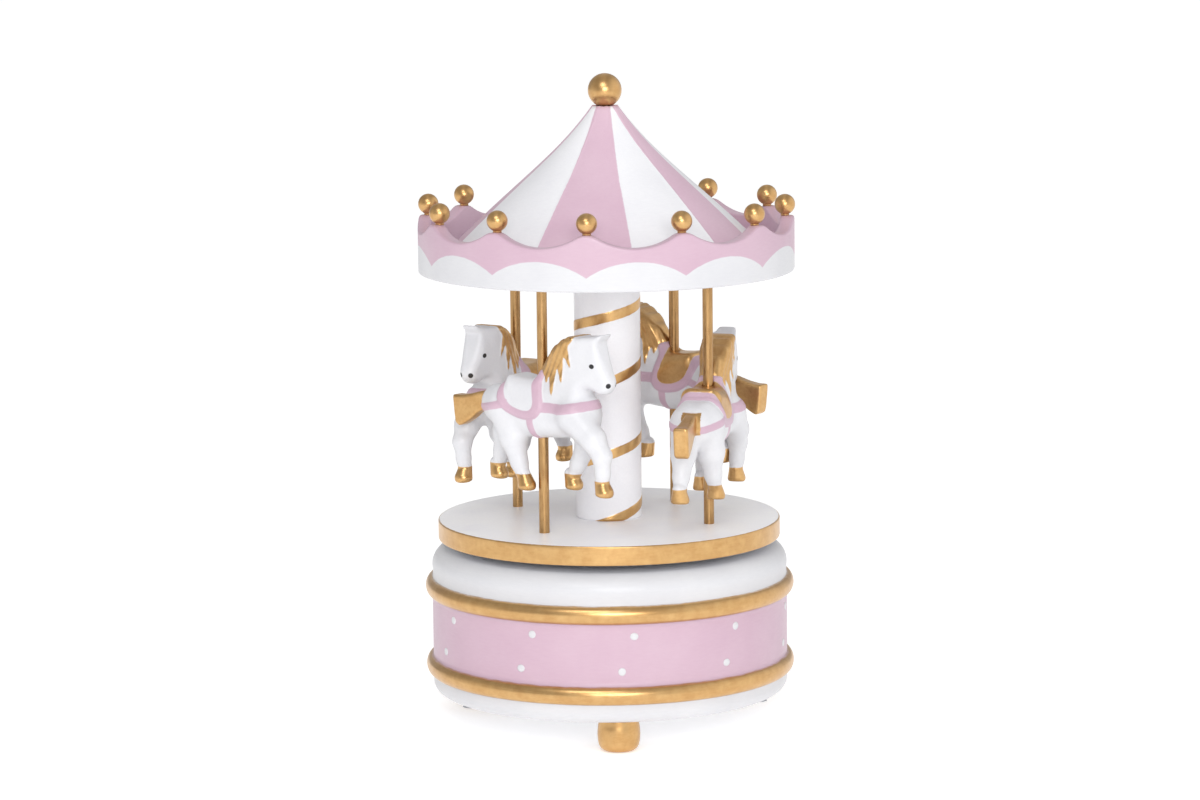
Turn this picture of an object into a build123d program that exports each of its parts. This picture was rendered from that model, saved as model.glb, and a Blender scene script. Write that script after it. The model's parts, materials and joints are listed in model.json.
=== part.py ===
from build123d import *
import os
from math import atan, cos, pi, radians, sin, sqrt, tan

# Carousel music box. Origin on the turning axis at the floor, front towards -Y, millimetres.
# Azimuths are measured from the front (-Y) towards +X, so a horse's way forward is anticlockwise from above.

# ---------------------------------------------------------------- driving dimensions
BASE_R = 52.3
BEAD_OUT = 2.0
BEAD_HALF = 2.65
FLOOR_GAP = 9.7                      # height of the feet
PLATE_TOP = 15.3
DRUM_TOP = 52.8
CAVITY_R = 44.0
CEILING = 46.8
UPPER_BEAD_Z = 41.3
PLATFORM_R = 50.3
PLATFORM_LOW = 55.2
PLATFORM_TOP = 60.9
COLUMN_R = 9.7
CANOPY_LOW = 134.05
CROWN_R = 55.0
CROWN_WALL = 4.0
CROWN_PEAK = 150.1
CROWN_TROUGH = 146.3
SCALLOPS = 12
SCALLOP_START = -6.0                 # azimuth of the first crown peak
CANOPY_DISC_T = 5.0
ROOF_TIP_Z = 182.0
FINIAL_R = 4.95
TOTAL_H = 191.5
BALL_R = 3.0
POLE_R = 1.5
POLE_CIRCLE_R = 32.5
POLE_AZIMUTHS = (-35.1, 63.8, 142.1, -123.2)
HORSE_HEADINGS = (-39.5, 74.5, 143.0, -123.5)
HORSE_LIFTS = (0.0, -4.4, 0.0, -2.3)
HORSES = len(POLE_AZIMUTHS)
FOOT_R = 6.2
FOOT_CIRCLE_R = 42.0
FOOT_START = 3.0
PLATE_SCREW_CIRCLE_R = 47.8

# ---------------------------------------------------------------- movement dimensions
MODULE = 0.5
PRESSURE_ANGLE = radians(20)
BACKLASH = 0.12                      # taken off each tooth at its pitch line
ARBOR_R = 2.0
RUN = 0.05                           # radial clearance of a running fit
BED_LOW = 44.8
BED_BOSS_LOW = 41.3
DRIVE_TEETH = 52
DRIVE_R = DRIVE_TEETH * MODULE / 2
DRIVE_FACE = 2.0
AXLE_Z = 36.3                        # height of the cylinder's axis, which runs along X
PINION_TEETH = 12
PINION_R = PINION_TEETH * MODULE / 2
PITCH_PLANE = AXLE_Z + PINION_R
DRIVE_DISC_LOW = PITCH_PLANE + 0.65
DRIVE_DISC_T = 1.2
CYLINDER_R = 6.5
CYLINDER_X = (17.0, 33.0)
PIN_TIP_R = 7.0
PIN_R = 0.2
NOTES = 18
NOTE_PITCH = 0.85
AXLE_R = 1.0
CYLINDER_GEAR_TEETH = 30
CYLINDER_GEAR_X = (33.4, 34.6)
GOVERNOR_TEETH = 10
GOVERNOR_Y = -(CYLINDER_GEAR_TEETH + GOVERNOR_TEETH) * MODULE / 2
GOVERNOR_AXLE_R = 0.75
WORM_WHEEL_TEETH = 20
WORM_WHEEL_X = 38.5
WORM_WHEEL_T = 0.8
WORM_R = 1.25
WORM_LEAD = pi * MODULE
WORM_Y = GOVERNOR_Y + WORM_WHEEL_TEETH * MODULE / 2 + WORM_R
WORM_TURNS = 4
CHEEK_A_X = (35.4, 36.6)
CHEEK_B_X = (40.4, 41.4)
CHEEK_LOW = 29.0
FLY_LOW, FLY_HIGH = 23.0, 28.0
FLY_R = 4.5
HOUSING_R = 10.0
HOUSING_Z = (30.0, 39.0)
HOUSING_WALL = 0.8
COMB_T = 0.8
COMB_TIP_Y = 7.15
COMB_ROOT_Y = 14.0
COMB_BACK_Y = 22.5


def around(radius, azimuth):
    """The XY point at an azimuth measured from the front towards +X."""
    return radius * sin(radians(azimuth)), -radius * cos(radians(azimuth))


def write(piece, label):
    """Label one finished piece and write it."""
    piece.part.label = label
    export_step(piece.part, f"parts/{label}.step")


# ================================================================ base
with BuildPart() as base_drum:
    with BuildSketch(Plane.XZ):
        with BuildLine():
            Polyline(
                (CAVITY_R, PLATE_TOP),
                (BASE_R, PLATE_TOP),
            )
            ThreePointArc(
                (BASE_R, PLATE_TOP),
                (BASE_R + BEAD_OUT, PLATE_TOP + BEAD_HALF),
                (BASE_R, PLATE_TOP + 2 * BEAD_HALF),
            )
            Line((BASE_R, PLATE_TOP + 2 * BEAD_HALF), (BASE_R, UPPER_BEAD_Z - BEAD_HALF))
            ThreePointArc(
                (BASE_R, UPPER_BEAD_Z - BEAD_HALF),
                (BASE_R + BEAD_OUT, UPPER_BEAD_Z),
                (BASE_R, UPPER_BEAD_Z + BEAD_HALF),
            )
            shoulder = 5.2
            Line((BASE_R, UPPER_BEAD_Z + BEAD_HALF), (BASE_R, DRUM_TOP - shoulder))
            RadiusArc(
                (BASE_R, DRUM_TOP - shoulder), (BASE_R - shoulder, DRUM_TOP), -shoulder
            )
            Polyline(
                (BASE_R - shoulder, DRUM_TOP),
                (0, DRUM_TOP),
                (0, CEILING),
                (CAVITY_R, CEILING),
                (CAVITY_R, PLATE_TOP),
            )
        make_face()
    revolve(axis=Axis.Z)
    BUSH_R = 3.5
    with BuildSketch(Plane.XY.offset(CEILING)):
        Circle(BUSH_R)
    extrude(amount=DRUM_TOP - CEILING, mode=Mode.SUBTRACT)
    PLATE_SCREW_R = 1.5
    with BuildSketch(Plane.XY.offset(PLATE_TOP)):
        with Locations([around(PLATE_SCREW_CIRCLE_R, FOOT_START + 60 + 120 * k) for k in range(3)]):
            Circle(PLATE_SCREW_R)
    extrude(amount=9, mode=Mode.SUBTRACT)
    BED_SCREW_R = 1.1
    BED_SCREWS = [(-15, 19), (-14, -10.8), (26, -11)]
    with BuildSketch(Plane.XY.offset(CEILING)):
        with Locations(BED_SCREWS):
            Circle(BED_SCREW_R)
    extrude(amount=4.5, mode=Mode.SUBTRACT)

with BuildPart() as base_plate:
    with BuildSketch(Plane.XY.offset(FLOOR_GAP)):
        Circle(BASE_R)
    extrude(amount=PLATE_TOP - FLOOR_GAP)
    fillet(base_plate.edges().sort_by(Axis.Z)[0], radius=3.2)
    FOOT_STEM_R = 2.5
    FOOT_STEM_H = 3.5
    with BuildSketch(Plane.XY.offset(FLOOR_GAP)):
        with Locations([around(FOOT_CIRCLE_R, FOOT_START + 120 * k) for k in range(3)]):
            Circle(FOOT_STEM_R)
    extrude(amount=FOOT_STEM_H, mode=Mode.SUBTRACT)
    CSK_H = 1.5
    for k in range(3):
        x, y = around(PLATE_SCREW_CIRCLE_R, FOOT_START + 60 + 120 * k)
        with Locations((x, y, FLOOR_GAP)):
            Cone(
                PLATE_SCREW_R + CSK_H, PLATE_SCREW_R, CSK_H,
                align=(Align.CENTER, Align.CENTER, Align.MIN), mode=Mode.SUBTRACT,
            )
            Cylinder(
                PLATE_SCREW_R, PLATE_TOP - FLOOR_GAP,
                align=(Align.CENTER, Align.CENTER, Align.MIN), mode=Mode.SUBTRACT,
            )

with BuildPart() as foot:
    with BuildSketch(Plane.XZ):
        with BuildLine():
            flat_r = 4.4
            neck_r = 5.7
            Line((0, 0), (flat_r, 0))
            Spline(
                (flat_r, 0), (FOOT_R - 0.15, 2.2), (FOOT_R, 5.2), (neck_r, FLOOR_GAP),
                tangents=((1, 0.25), (-0.2, 1)),
            )
            Polyline(
                (neck_r, FLOOR_GAP),
                (FOOT_STEM_R, FLOOR_GAP),
                (FOOT_STEM_R, FLOOR_GAP + FOOT_STEM_H),
                (0, FLOOR_GAP + FOOT_STEM_H),
                (0, 0),
            )
        make_face()
    revolve(axis=Axis.Z)

with BuildPart() as feet:
    with Locations([around(FOOT_CIRCLE_R, FOOT_START + 120 * k) for k in range(3)]):
        add(foot.part)


def screw(shank_r, shank_h, head_r, head_h, countersunk=False):
    """A screw that points up, its head's outer face at z = 0, with a cross recess in it."""
    with BuildPart() as made:
        low = (Align.CENTER, Align.CENTER, Align.MIN)
        if countersunk:
            Cone(head_r, shank_r, head_h, align=low)
        else:
            Cylinder(head_r, head_h, align=low)
        with BuildSketch(Plane.XY.offset(head_h)):
            Circle(shank_r)
        extrude(amount=shank_h)
        with BuildSketch():
            Rectangle(1.3 * head_r, 0.25 * head_r)
            Rectangle(0.25 * head_r, 1.3 * head_r)
        extrude(amount=0.45 * head_h, mode=Mode.SUBTRACT)
    return made.part


with BuildPart() as plate_screws:
    plate_screw = screw(PLATE_SCREW_R, 12, PLATE_SCREW_R + CSK_H, CSK_H, countersunk=True)
    spots = [around(PLATE_SCREW_CIRCLE_R, FOOT_START + 60 + 120 * k) for k in range(3)]
    with Locations([(x, y, FLOOR_GAP) for x, y in spots]):
        add(plate_screw)

with BuildPart() as arbor_bush:
    BUSH_FLANGE_R, BUSH_FLANGE_T = 6.0, 1.0
    with BuildSketch(Plane.XY.offset(CEILING)):
        Circle(BUSH_R)
    extrude(amount=DRUM_TOP - CEILING)
    with BuildSketch(Plane.XY.offset(DRUM_TOP)):
        Circle(BUSH_FLANGE_R)
    extrude(amount=BUSH_FLANGE_T)
    with BuildSketch(Plane.XY.offset(CEILING)):
        Circle(ARBOR_R + RUN)
    extrude(amount=20, mode=Mode.SUBTRACT)

with BuildPart() as thrust_washer:
    WASHER_T = 1.0
    with BuildSketch(Plane.XY.offset(DRUM_TOP + BUSH_FLANGE_T)):
        Circle(BUSH_FLANGE_R)
        Circle(ARBOR_R + RUN, mode=Mode.SUBTRACT)
    extrude(amount=WASHER_T)

# ================================================================ platform, column and canopy
INSERT_R = 4.0
INSERT_TOP = PLATFORM_TOP + 3.0
POLE_SPOTS = [around(POLE_CIRCLE_R, azimuth) for azimuth in POLE_AZIMUTHS]
POLE_SINK = 4.0
POLE_TOP = CANOPY_LOW + 3.0

with BuildPart() as platform:
    with BuildSketch(Plane.XY.offset(PLATFORM_LOW)):
        Circle(PLATFORM_R)
    extrude(amount=PLATFORM_TOP - PLATFORM_LOW)
    chamfer(platform.edges(), length=0.35)
    with BuildSketch(Plane.XY.offset(PLATFORM_LOW)):
        Circle(INSERT_R)
    extrude(amount=10, mode=Mode.SUBTRACT)
    with BuildSketch(Plane.XY.offset(PLATFORM_TOP - POLE_SINK)):
        with Locations(POLE_SPOTS):
            Circle(POLE_R)
    extrude(amount=POLE_SINK, mode=Mode.SUBTRACT)

with BuildPart() as platform_insert:
    INSERT_FLANGE_R, INSERT_FLANGE_T = 6.0, 0.35
    with BuildSketch(Plane.XY.offset(PLATFORM_LOW - INSERT_FLANGE_T)):
        Circle(INSERT_FLANGE_R)
    extrude(amount=INSERT_FLANGE_T)
    with BuildSketch(Plane.XY.offset(PLATFORM_LOW)):
        Circle(INSERT_R)
    extrude(amount=INSERT_TOP - PLATFORM_LOW)
    with BuildSketch(Plane.XY.offset(PLATFORM_LOW - INSERT_FLANGE_T)):
        Circle(ARBOR_R)
    extrude(amount=INSERT_TOP - 1.2 - PLATFORM_LOW, mode=Mode.SUBTRACT)

with BuildPart() as center_column:
    TENON_R, TENON_H = 5.0, 10.0
    with BuildSketch(Plane.XY.offset(PLATFORM_TOP)):
        Circle(COLUMN_R)
    extrude(amount=CANOPY_LOW - PLATFORM_TOP)
    with BuildSketch(Plane.XY.offset(CANOPY_LOW)):
        Circle(TENON_R)
    extrude(amount=TENON_H)
    with BuildSketch(Plane.XY.offset(PLATFORM_TOP)):
        Circle(INSERT_R)
    extrude(amount=INSERT_TOP - PLATFORM_TOP, mode=Mode.SUBTRACT)

with BuildPart() as pole:
    with BuildSketch(Plane.XY.offset(PLATFORM_TOP - POLE_SINK)):
        Circle(POLE_R)
    extrude(amount=POLE_TOP - PLATFORM_TOP + POLE_SINK)

CROWN_IN = CROWN_R - CROWN_WALL
DISC_TOP = CANOPY_LOW + CANOPY_DISC_T

with BuildPart() as canopy_disc:
    with BuildSketch(Plane.XY.offset(CANOPY_LOW)):
        Circle(CROWN_IN)
        Circle(TENON_R, mode=Mode.SUBTRACT)
    extrude(amount=CANOPY_DISC_T)
    with BuildSketch(Plane.XY.offset(CANOPY_LOW)):
        with Locations(POLE_SPOTS):
            Circle(POLE_R)
    extrude(amount=POLE_TOP - CANOPY_LOW, mode=Mode.SUBTRACT)

BALL_NECK_R = 1.75
BALL_PIN_R, BALL_PIN_H = 0.9, 4.0
BALL_CIRCLE_R = CROWN_R - 2.7
PEAK_SPOTS = [around(BALL_CIRCLE_R, SCALLOP_START + 360 / SCALLOPS * k) for k in range(SCALLOPS)]
PEAK_HALF = 1.9                      # half the flat top of a peak

with BuildPart() as canopy_crown:
    with BuildSketch(Plane.XY.offset(CANOPY_LOW)):
        Circle(CROWN_R)
        Circle(CROWN_IN, mode=Mode.SUBTRACT)
    extrude(amount=CROWN_PEAK - CANOPY_LOW)
    half_chord = pi * CROWN_R / SCALLOPS - PEAK_HALF
    depth = CROWN_PEAK - CROWN_TROUGH
    scallop_r = (half_chord ** 2 + depth ** 2) / (2 * depth)
    for k in range(SCALLOPS):
        x, y = around(CROWN_R + 5, SCALLOP_START + 360 / SCALLOPS * (k + 0.5))
        inward = Plane(origin=(x, y, CROWN_TROUGH + scallop_r), z_dir=(-x, -y, 0))
        with BuildSketch(inward):
            Circle(scallop_r)
        extrude(amount=CROWN_WALL + 8, mode=Mode.SUBTRACT)
    with BuildSketch(Plane.XY.offset(CROWN_PEAK - BALL_PIN_H)):
        with Locations(PEAK_SPOTS):
            Circle(BALL_PIN_R)
    extrude(amount=BALL_PIN_H, mode=Mode.SUBTRACT)

with BuildPart() as crown_ball:
    with BuildSketch(Plane.XZ):
        with BuildLine():
            ball_low = sqrt(BALL_R ** 2 - BALL_NECK_R ** 2)
            ball_z = CROWN_PEAK + 0.75 + ball_low
            top = (0, ball_z + BALL_R)
            side = (BALL_R, ball_z)
            neck_top = (BALL_NECK_R, ball_z - ball_low)
            ThreePointArc(top, side, neck_top)
            Polyline(
                neck_top,
                (BALL_NECK_R, CROWN_PEAK),
                (BALL_PIN_R, CROWN_PEAK),
                (BALL_PIN_R, CROWN_PEAK - BALL_PIN_H),
                (0, CROWN_PEAK - BALL_PIN_H),
                top,
            )
        make_face()
    revolve(axis=Axis.Z)

with BuildPart() as crown_balls:
    with Locations(PEAK_SPOTS):
        add(crown_ball.part)

ROOF_EDGE_R = 47.6
FINIAL_PIN_R, FINIAL_PIN_H = 1.5, 7.0
TENON_TOP = CANOPY_LOW + TENON_H

with BuildPart() as canopy_roof:
    with BuildSketch(Plane.XZ):
        with BuildLine():
            Line((0, DISC_TOP), (ROOF_EDGE_R, DISC_TOP))
            Spline(
                (ROOF_EDGE_R, DISC_TOP), (36.4, 149.7), (26.8, 158.3), (17.2, 167.0), (3.9, ROOF_TIP_Z)
            )
            Polyline((3.9, ROOF_TIP_Z), (0, ROOF_TIP_Z), (0, DISC_TOP))
        make_face()
    revolve(axis=Axis.Z)
    with BuildSketch(Plane.XY.offset(DISC_TOP)):
        Circle(TENON_R)
    extrude(amount=TENON_TOP - DISC_TOP, mode=Mode.SUBTRACT)
    with BuildSketch(Plane.XY.offset(ROOF_TIP_Z - FINIAL_PIN_H)):
        Circle(FINIAL_PIN_R)
    extrude(amount=FINIAL_PIN_H, mode=Mode.SUBTRACT)

with BuildPart() as finial_ball:
    with BuildSketch(Plane.XZ):
        with BuildLine():
            finial_z = TOTAL_H - FINIAL_R
            seat = sqrt(FINIAL_R ** 2 - (finial_z - ROOF_TIP_Z) ** 2)
            ThreePointArc((0, TOTAL_H), (FINIAL_R, finial_z), (seat, ROOF_TIP_Z))
            Polyline(
                (seat, ROOF_TIP_Z),
                (FINIAL_PIN_R, ROOF_TIP_Z),
                (FINIAL_PIN_R, ROOF_TIP_Z - FINIAL_PIN_H),
                (0, ROOF_TIP_Z - FINIAL_PIN_H),
                (0, TOTAL_H),
            )
        make_face()
    revolve(axis=Axis.Z)


# ================================================================ horses
def limb(stations):
    """A leg lofted through circles, each given as x, y, height above the platform and radius."""
    with BuildPart() as made:
        for x, y, h, r in stations:
            with BuildSketch(Plane.XY.offset(h)):
                with Locations((x, y)):
                    Circle(r)
        loft()
    return made.part


def trunk(stations, lean):
    """A loft through ellipses whose planes lean by an angle: x, height, half length and half width."""
    across = Vector(cos(radians(lean)), 0, sin(radians(lean)))
    along = Vector(-sin(radians(lean)), 0, cos(radians(lean)))
    with BuildPart() as made:
        for x, h, half_length, half_width in stations:
            with BuildSketch(Plane(origin=(x, 0, h), x_dir=across, z_dir=along)):
                Ellipse(half_length, half_width)
        loft()
    return made.part


# The horse stands over its pole: +X forward, +Y towards the column, heights from the platform.
HOOF_H = 12.3
LEG_Y = 3.5
with BuildPart() as horse:
    add(trunk([(-20, 38, 4.2, 3.4), (-16, 38, 7.0, 5.6), (-8.5, 37, 8.6, 6.6), (4, 36.5, 9.0, 6.6),
               (13.5, 37.3, 8.8, 6.2), (19, 39, 6.6, 5), (21.6, 40, 3.6, 2.8)], 90))
    add(trunk([(12, 40, 8.2, 4.6), (14.3, 48, 6.6, 4), (16.4, 54, 4.8, 3.2), (17.4, 57, 2.8, 2.2)], -14))
    face = [(23.6, 42.6, 2.6, 2.2), (22.8, 45, 3.8, 2.8), (20.8, 49.5, 5.0, 3.6), (18.6, 55, 4.4, 3.2)]
    add(trunk(face, 16))
    for leg in (
        [(14.5, -LEG_Y, 36, 4.4), (21.5, -LEG_Y, 26, 2.8), (23, -LEG_Y, 18, 1.9), (24, -LEG_Y, HOOF_H, 3)],
        [(13, LEG_Y, 36, 4.4), (13.2, LEG_Y, 25, 2.8), (10, LEG_Y, 18.5, 1.9), (7.6, LEG_Y, HOOF_H, 3)],
        [(-11, -LEG_Y, 38, 4.8), (-10, -LEG_Y, 25, 3), (-7.3, -LEG_Y, 18, 1.9), (-4.6, -LEG_Y, HOOF_H, 3)],
        [(-14, LEG_Y, 38, 4.8), (-17.8, LEG_Y, 27, 3), (-19.2, LEG_Y, 19, 1.9), (-20.2, LEG_Y, HOOF_H, 3)],
    ):
        add(limb(leg))
    with BuildSketch(Plane.YZ.offset(-18)):
        with Locations((0, 37.5)):
            Rectangle(3.4, 5)
    with BuildSketch(Plane.YZ.offset(-33.5)):
        with Locations((0, 33.2)):
            Rectangle(4, 8.5)
    loft()
    MANE_T = 6.0
    with BuildSketch(Plane.XZ.offset(-MANE_T / 2)):
        Polygon((18, 56.5), (12, 58), (5, 52.6), (0.8, 46.8), (2.6, 41), (12.6, 40), align=None)
    extrude(amount=MANE_T)
    for side in (-1, 1):
        with Locations((22.6, side * 2.2, 57.2)):
            Cone(1.8, 0.3, 5.4)
    with Locations((0, 0, 36)):
        Cylinder(POLE_R, 60, mode=Mode.SUBTRACT)


def seat(k):
    """The plane under horse k: origin on its pole, x_dir its way forward."""
    heading = radians(HORSE_HEADINGS[k])
    x, y = POLE_SPOTS[k]
    return Plane(origin=(x, y, PLATFORM_TOP + HORSE_LIFTS[k]),
                 x_dir=(cos(heading), sin(heading), 0), z_dir=(0, 0, 1))


for k in range(HORSES):
    with BuildPart() as placed_horse:
        with Locations(seat(k)):
            add(horse.part)
    write(placed_horse, f"horse_{k + 1}")
    with BuildPart() as placed_pole:
        x, y = POLE_SPOTS[k]
        with Locations((x, y, 0)):
            add(pole.part)
    write(placed_pole, f"pole_{k + 1}")


# ================================================================ gears
def gear_outline(teeth, outer_r, root_r, phase):
    """A spur gear's outline with involute flanks, a tooth centred on the angle phase."""
    pitch_r = teeth * MODULE / 2
    base_r = pitch_r * cos(PRESSURE_ANGLE)
    involute_at_pitch = tan(PRESSURE_ANGLE) - PRESSURE_ANGLE
    half_at_pitch = (pi * MODULE / 2 - BACKLASH) / (2 * pitch_r)

    def flank(r):
        """Half the angle that the tooth takes at radius r, at or outside the base circle."""
        swing = sqrt(max((r / base_r) ** 2 - 1, 0))
        roll = swing - atan(swing)
        return half_at_pitch + involute_at_pitch - roll

    def point(r, angle):
        return r * cos(angle), r * sin(angle)

    start_r = max(base_r, root_r)
    middle_r = (start_r + outer_r) / 2
    step = 2 * pi / teeth
    with BuildSketch() as outline:
        with BuildLine():
            for k in range(teeth):
                mid = radians(phase) + k * step
                foot_half, middle_half, tip_half = flank(start_r), flank(middle_r), flank(outer_r)
                rise = [point(start_r, mid - foot_half), point(middle_r, mid - middle_half),
                        point(outer_r, mid - tip_half)]
                fall = [point(outer_r, mid + tip_half), point(middle_r, mid + middle_half),
                        point(start_r, mid + foot_half)]
                if start_r > root_r:
                    Line(point(root_r, mid - foot_half), rise[0])
                    Line(fall[2], point(root_r, mid + foot_half))
                ThreePointArc(*rise)
                ThreePointArc(rise[2], point(outer_r, mid), fall[0])
                ThreePointArc(*fall)
                ThreePointArc(
                    point(root_r, mid + foot_half),
                    point(root_r, mid + step / 2),
                    point(root_r, mid + step - foot_half),
                )
        make_face()
    return outline.sketch


def on_x(x):
    """The plane square to X at x, whose own axes are Y and Z."""
    return Plane(origin=(x, 0, 0), x_dir=(0, 1, 0), z_dir=(1, 0, 0))


AXLE_SPOT = (0, AXLE_Z)
GOVERNOR_SPOT = (GOVERNOR_Y, AXLE_Z)

# ================================================================ spring and drive
with BuildPart() as arbor:
    ARBOR_LOW, ARBOR_TOP = 28.2, INSERT_TOP - 1.9
    with BuildSketch(Plane.XY.offset(ARBOR_LOW)):
        Circle(ARBOR_R)
    extrude(amount=ARBOR_TOP - ARBOR_LOW)
    CLIP_LOW, CLIP_T, CLIP_GROOVE = 28.9, 0.6, 0.4
    with BuildSketch(Plane.XY.offset(CLIP_LOW)):
        Circle(ARBOR_R)
        Circle(ARBOR_R - CLIP_GROOVE, mode=Mode.SUBTRACT)
    extrude(amount=CLIP_T, mode=Mode.SUBTRACT)

with BuildPart() as arbor_clip:
    with BuildSketch(Plane.XY.offset(CLIP_LOW)):
        Circle(3.6)
        Circle(ARBOR_R - CLIP_GROOVE, mode=Mode.SUBTRACT)
        with Locations((0, -3)):
            Rectangle(2.2, 6, mode=Mode.SUBTRACT)
    extrude(amount=CLIP_T)

with BuildPart() as drive_tooth:
    addendum = 0.34
    top_z = DRIVE_DISC_LOW + 0.05
    for r in (DRIVE_R - DRIVE_FACE / 2, DRIVE_R + DRIVE_FACE / 2):
        spread = r / DRIVE_R
        half = spread * (pi * MODULE / 2 - BACKLASH) / 2
        slope = tan(PRESSURE_ANGLE) * spread
        with BuildSketch(on_x(r)):
            low = PITCH_PLANE - addendum
            Polygon(
                (-half + slope * addendum, low),
                (half - slope * addendum, low),
                (half + slope * (top_z - PITCH_PLANE), top_z),
                (-half - slope * (top_z - PITCH_PLANE), top_z),
                align=None,
            )
    loft()

with BuildPart() as drive_wheel:
    with BuildSketch(Plane.XY.offset(DRIVE_DISC_LOW)):
        Circle(DRIVE_R + DRIVE_FACE / 2 + 0.3)
        Circle(ARBOR_R, mode=Mode.SUBTRACT)
        with PolarLocations(7.6, 5):
            Circle(2.6, mode=Mode.SUBTRACT)
    extrude(amount=DRIVE_DISC_T)
    with PolarLocations(0, DRIVE_TEETH):
        add(drive_tooth.part)

HOUSING_ARM_X = (-19.0, -15.5)
with BuildPart() as spring_housing:
    with BuildSketch(Plane.XY.offset(HOUSING_Z[0])):
        Circle(HOUSING_R)
    extrude(amount=HOUSING_Z[1] - HOUSING_Z[0])
    with BuildSketch(Plane.XY.offset(HOUSING_Z[0])):
        with Locations((HOUSING_ARM_X[0], 0)):
            Rectangle(-HOUSING_ARM_X[0], 10, align=(Align.MIN, Align.CENTER))
    extrude(amount=1.6)
    with BuildSketch(Plane.XY.offset(HOUSING_Z[0])):
        with Locations((HOUSING_ARM_X[0], 0)):
            Rectangle(HOUSING_ARM_X[1] - HOUSING_ARM_X[0], 10, align=(Align.MIN, Align.CENTER))
    extrude(amount=BED_LOW - HOUSING_Z[0])
    HOUSING_FOOT_T = 1.2
    HOUSING_SCREWS = [(-21.4, -3), (-21.4, 3)]
    with BuildSketch(Plane.XY.offset(BED_LOW - HOUSING_FOOT_T)):
        with Locations((-23.6, 0)):
            Rectangle(23.6 + HOUSING_ARM_X[0], 10, align=(Align.MIN, Align.CENTER))
        with Locations(HOUSING_SCREWS):
            Circle(0.8, mode=Mode.SUBTRACT)
    extrude(amount=HOUSING_FOOT_T)
    with BuildSketch(Plane.XY.offset(HOUSING_Z[0] + HOUSING_WALL)):
        Circle(HOUSING_R - HOUSING_WALL)
    extrude(amount=HOUSING_Z[1] - HOUSING_Z[0], mode=Mode.SUBTRACT)
    with BuildSketch(Plane.XY.offset(HOUSING_Z[0])):
        Circle(ARBOR_R + RUN)
    extrude(amount=HOUSING_WALL, mode=Mode.SUBTRACT)

with BuildPart() as mainspring:
    SPRING_T = 0.3
    SPRING_STEP = 0.45                # the radius gained in each half turn
    SPRING_HALF_TURNS = 14
    SPRING_START_R = 2.6
    with BuildSketch(Plane.XY.offset(HOUSING_Z[0] + HOUSING_WALL + 0.3)):
        with BuildLine():
            for edge in (-SPRING_T / 2, SPRING_T / 2):
                for k in range(SPRING_HALF_TURNS):
                    r = SPRING_START_R + SPRING_STEP * k + edge
                    centre = SPRING_STEP * (k % 2)
                    way = 1 if k % 2 == 0 else -1
                    ThreePointArc((centre + way * r, 0), (centre, way * r), (centre - way * r, 0))
            Line(
                (SPRING_START_R - SPRING_T / 2, 0), (SPRING_START_R + SPRING_T / 2, 0)
            )
            last = SPRING_START_R + SPRING_STEP * SPRING_HALF_TURNS
            Line((last - SPRING_T / 2, 0), (last + SPRING_T / 2, 0))
        make_face()
    extrude(amount=7.2)

# ================================================================ bedplate
BRACKET_X = (15.2, 16.4)
COMB_SCREWS = [(20.5, 18.8), (29.5, 18.8)]
COMB_SCREW_R = 1.0
GOVERNOR_SCREWS = [(WORM_WHEEL_X, 0.8), (WORM_WHEEL_X, -11.6)]
GOVERNOR_SCREW_R = 0.8
COMB_LOW = AXLE_Z - COMB_T / 2
COMB_TOP = AXLE_Z + COMB_T / 2

with BuildPart() as bedplate:
    with BuildSketch(Plane.XY.offset(BED_LOW)):
        with Locations((-24, -14)):
            Rectangle(68, 38, align=(Align.MIN, Align.MIN))
        Circle(CAVITY_R - 0.7, mode=Mode.INTERSECT)
        with Locations(BED_SCREWS):
            Circle(BED_SCREW_R, mode=Mode.SUBTRACT)
        with Locations(HOUSING_SCREWS + GOVERNOR_SCREWS):
            Circle(0.8, mode=Mode.SUBTRACT)
    extrude(amount=CEILING - BED_LOW)
    with BuildSketch(Plane.XY.offset(BED_BOSS_LOW)):
        Circle(4.5)
    extrude(amount=BED_LOW - BED_BOSS_LOW)
    with BuildSketch(Plane.XY.offset(COMB_TOP)):
        with Locations(((CYLINDER_X[0] + CYLINDER_X[1]) / 2, (15.5 + COMB_BACK_Y) / 2)):
            RectangleRounded(CYLINDER_X[1] - CYLINDER_X[0] + 1, COMB_BACK_Y - 15.5, 1)
    extrude(amount=BED_LOW - COMB_TOP)
    with BuildSketch(Plane.XY.offset(COMB_TOP)):
        with Locations(COMB_SCREWS):
            Circle(COMB_SCREW_R)
    extrude(amount=6, mode=Mode.SUBTRACT)
    with BuildSketch(on_x(BRACKET_X[0])):
        with Locations((0, AXLE_Z - 3)):
            Rectangle(8, BED_LOW - AXLE_Z + 3, align=(Align.CENTER, Align.MIN))
        with Locations(AXLE_SPOT):
            Circle(AXLE_R + RUN, mode=Mode.SUBTRACT)
    extrude(amount=BRACKET_X[1] - BRACKET_X[0])
    with BuildSketch(Plane.XY.offset(BED_BOSS_LOW)):
        Circle(ARBOR_R + RUN)
    extrude(amount=CEILING - BED_BOSS_LOW, mode=Mode.SUBTRACT)

with BuildPart() as movement_screws:
    HEAD_T = 1.0
    bed_screw = screw(BED_SCREW_R, CEILING - BED_LOW + 4.2, 2.1, HEAD_T)
    with Locations([(x, y, BED_LOW - HEAD_T) for x, y in BED_SCREWS]):
        add(bed_screw)

with BuildPart() as housing_screws:
    housing_screw = screw(0.8, HOUSING_FOOT_T + 1.8, 1.5, 0.8)
    with Locations([(x, y, BED_LOW - HOUSING_FOOT_T - 0.8) for x, y in HOUSING_SCREWS]):
        add(housing_screw)

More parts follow.
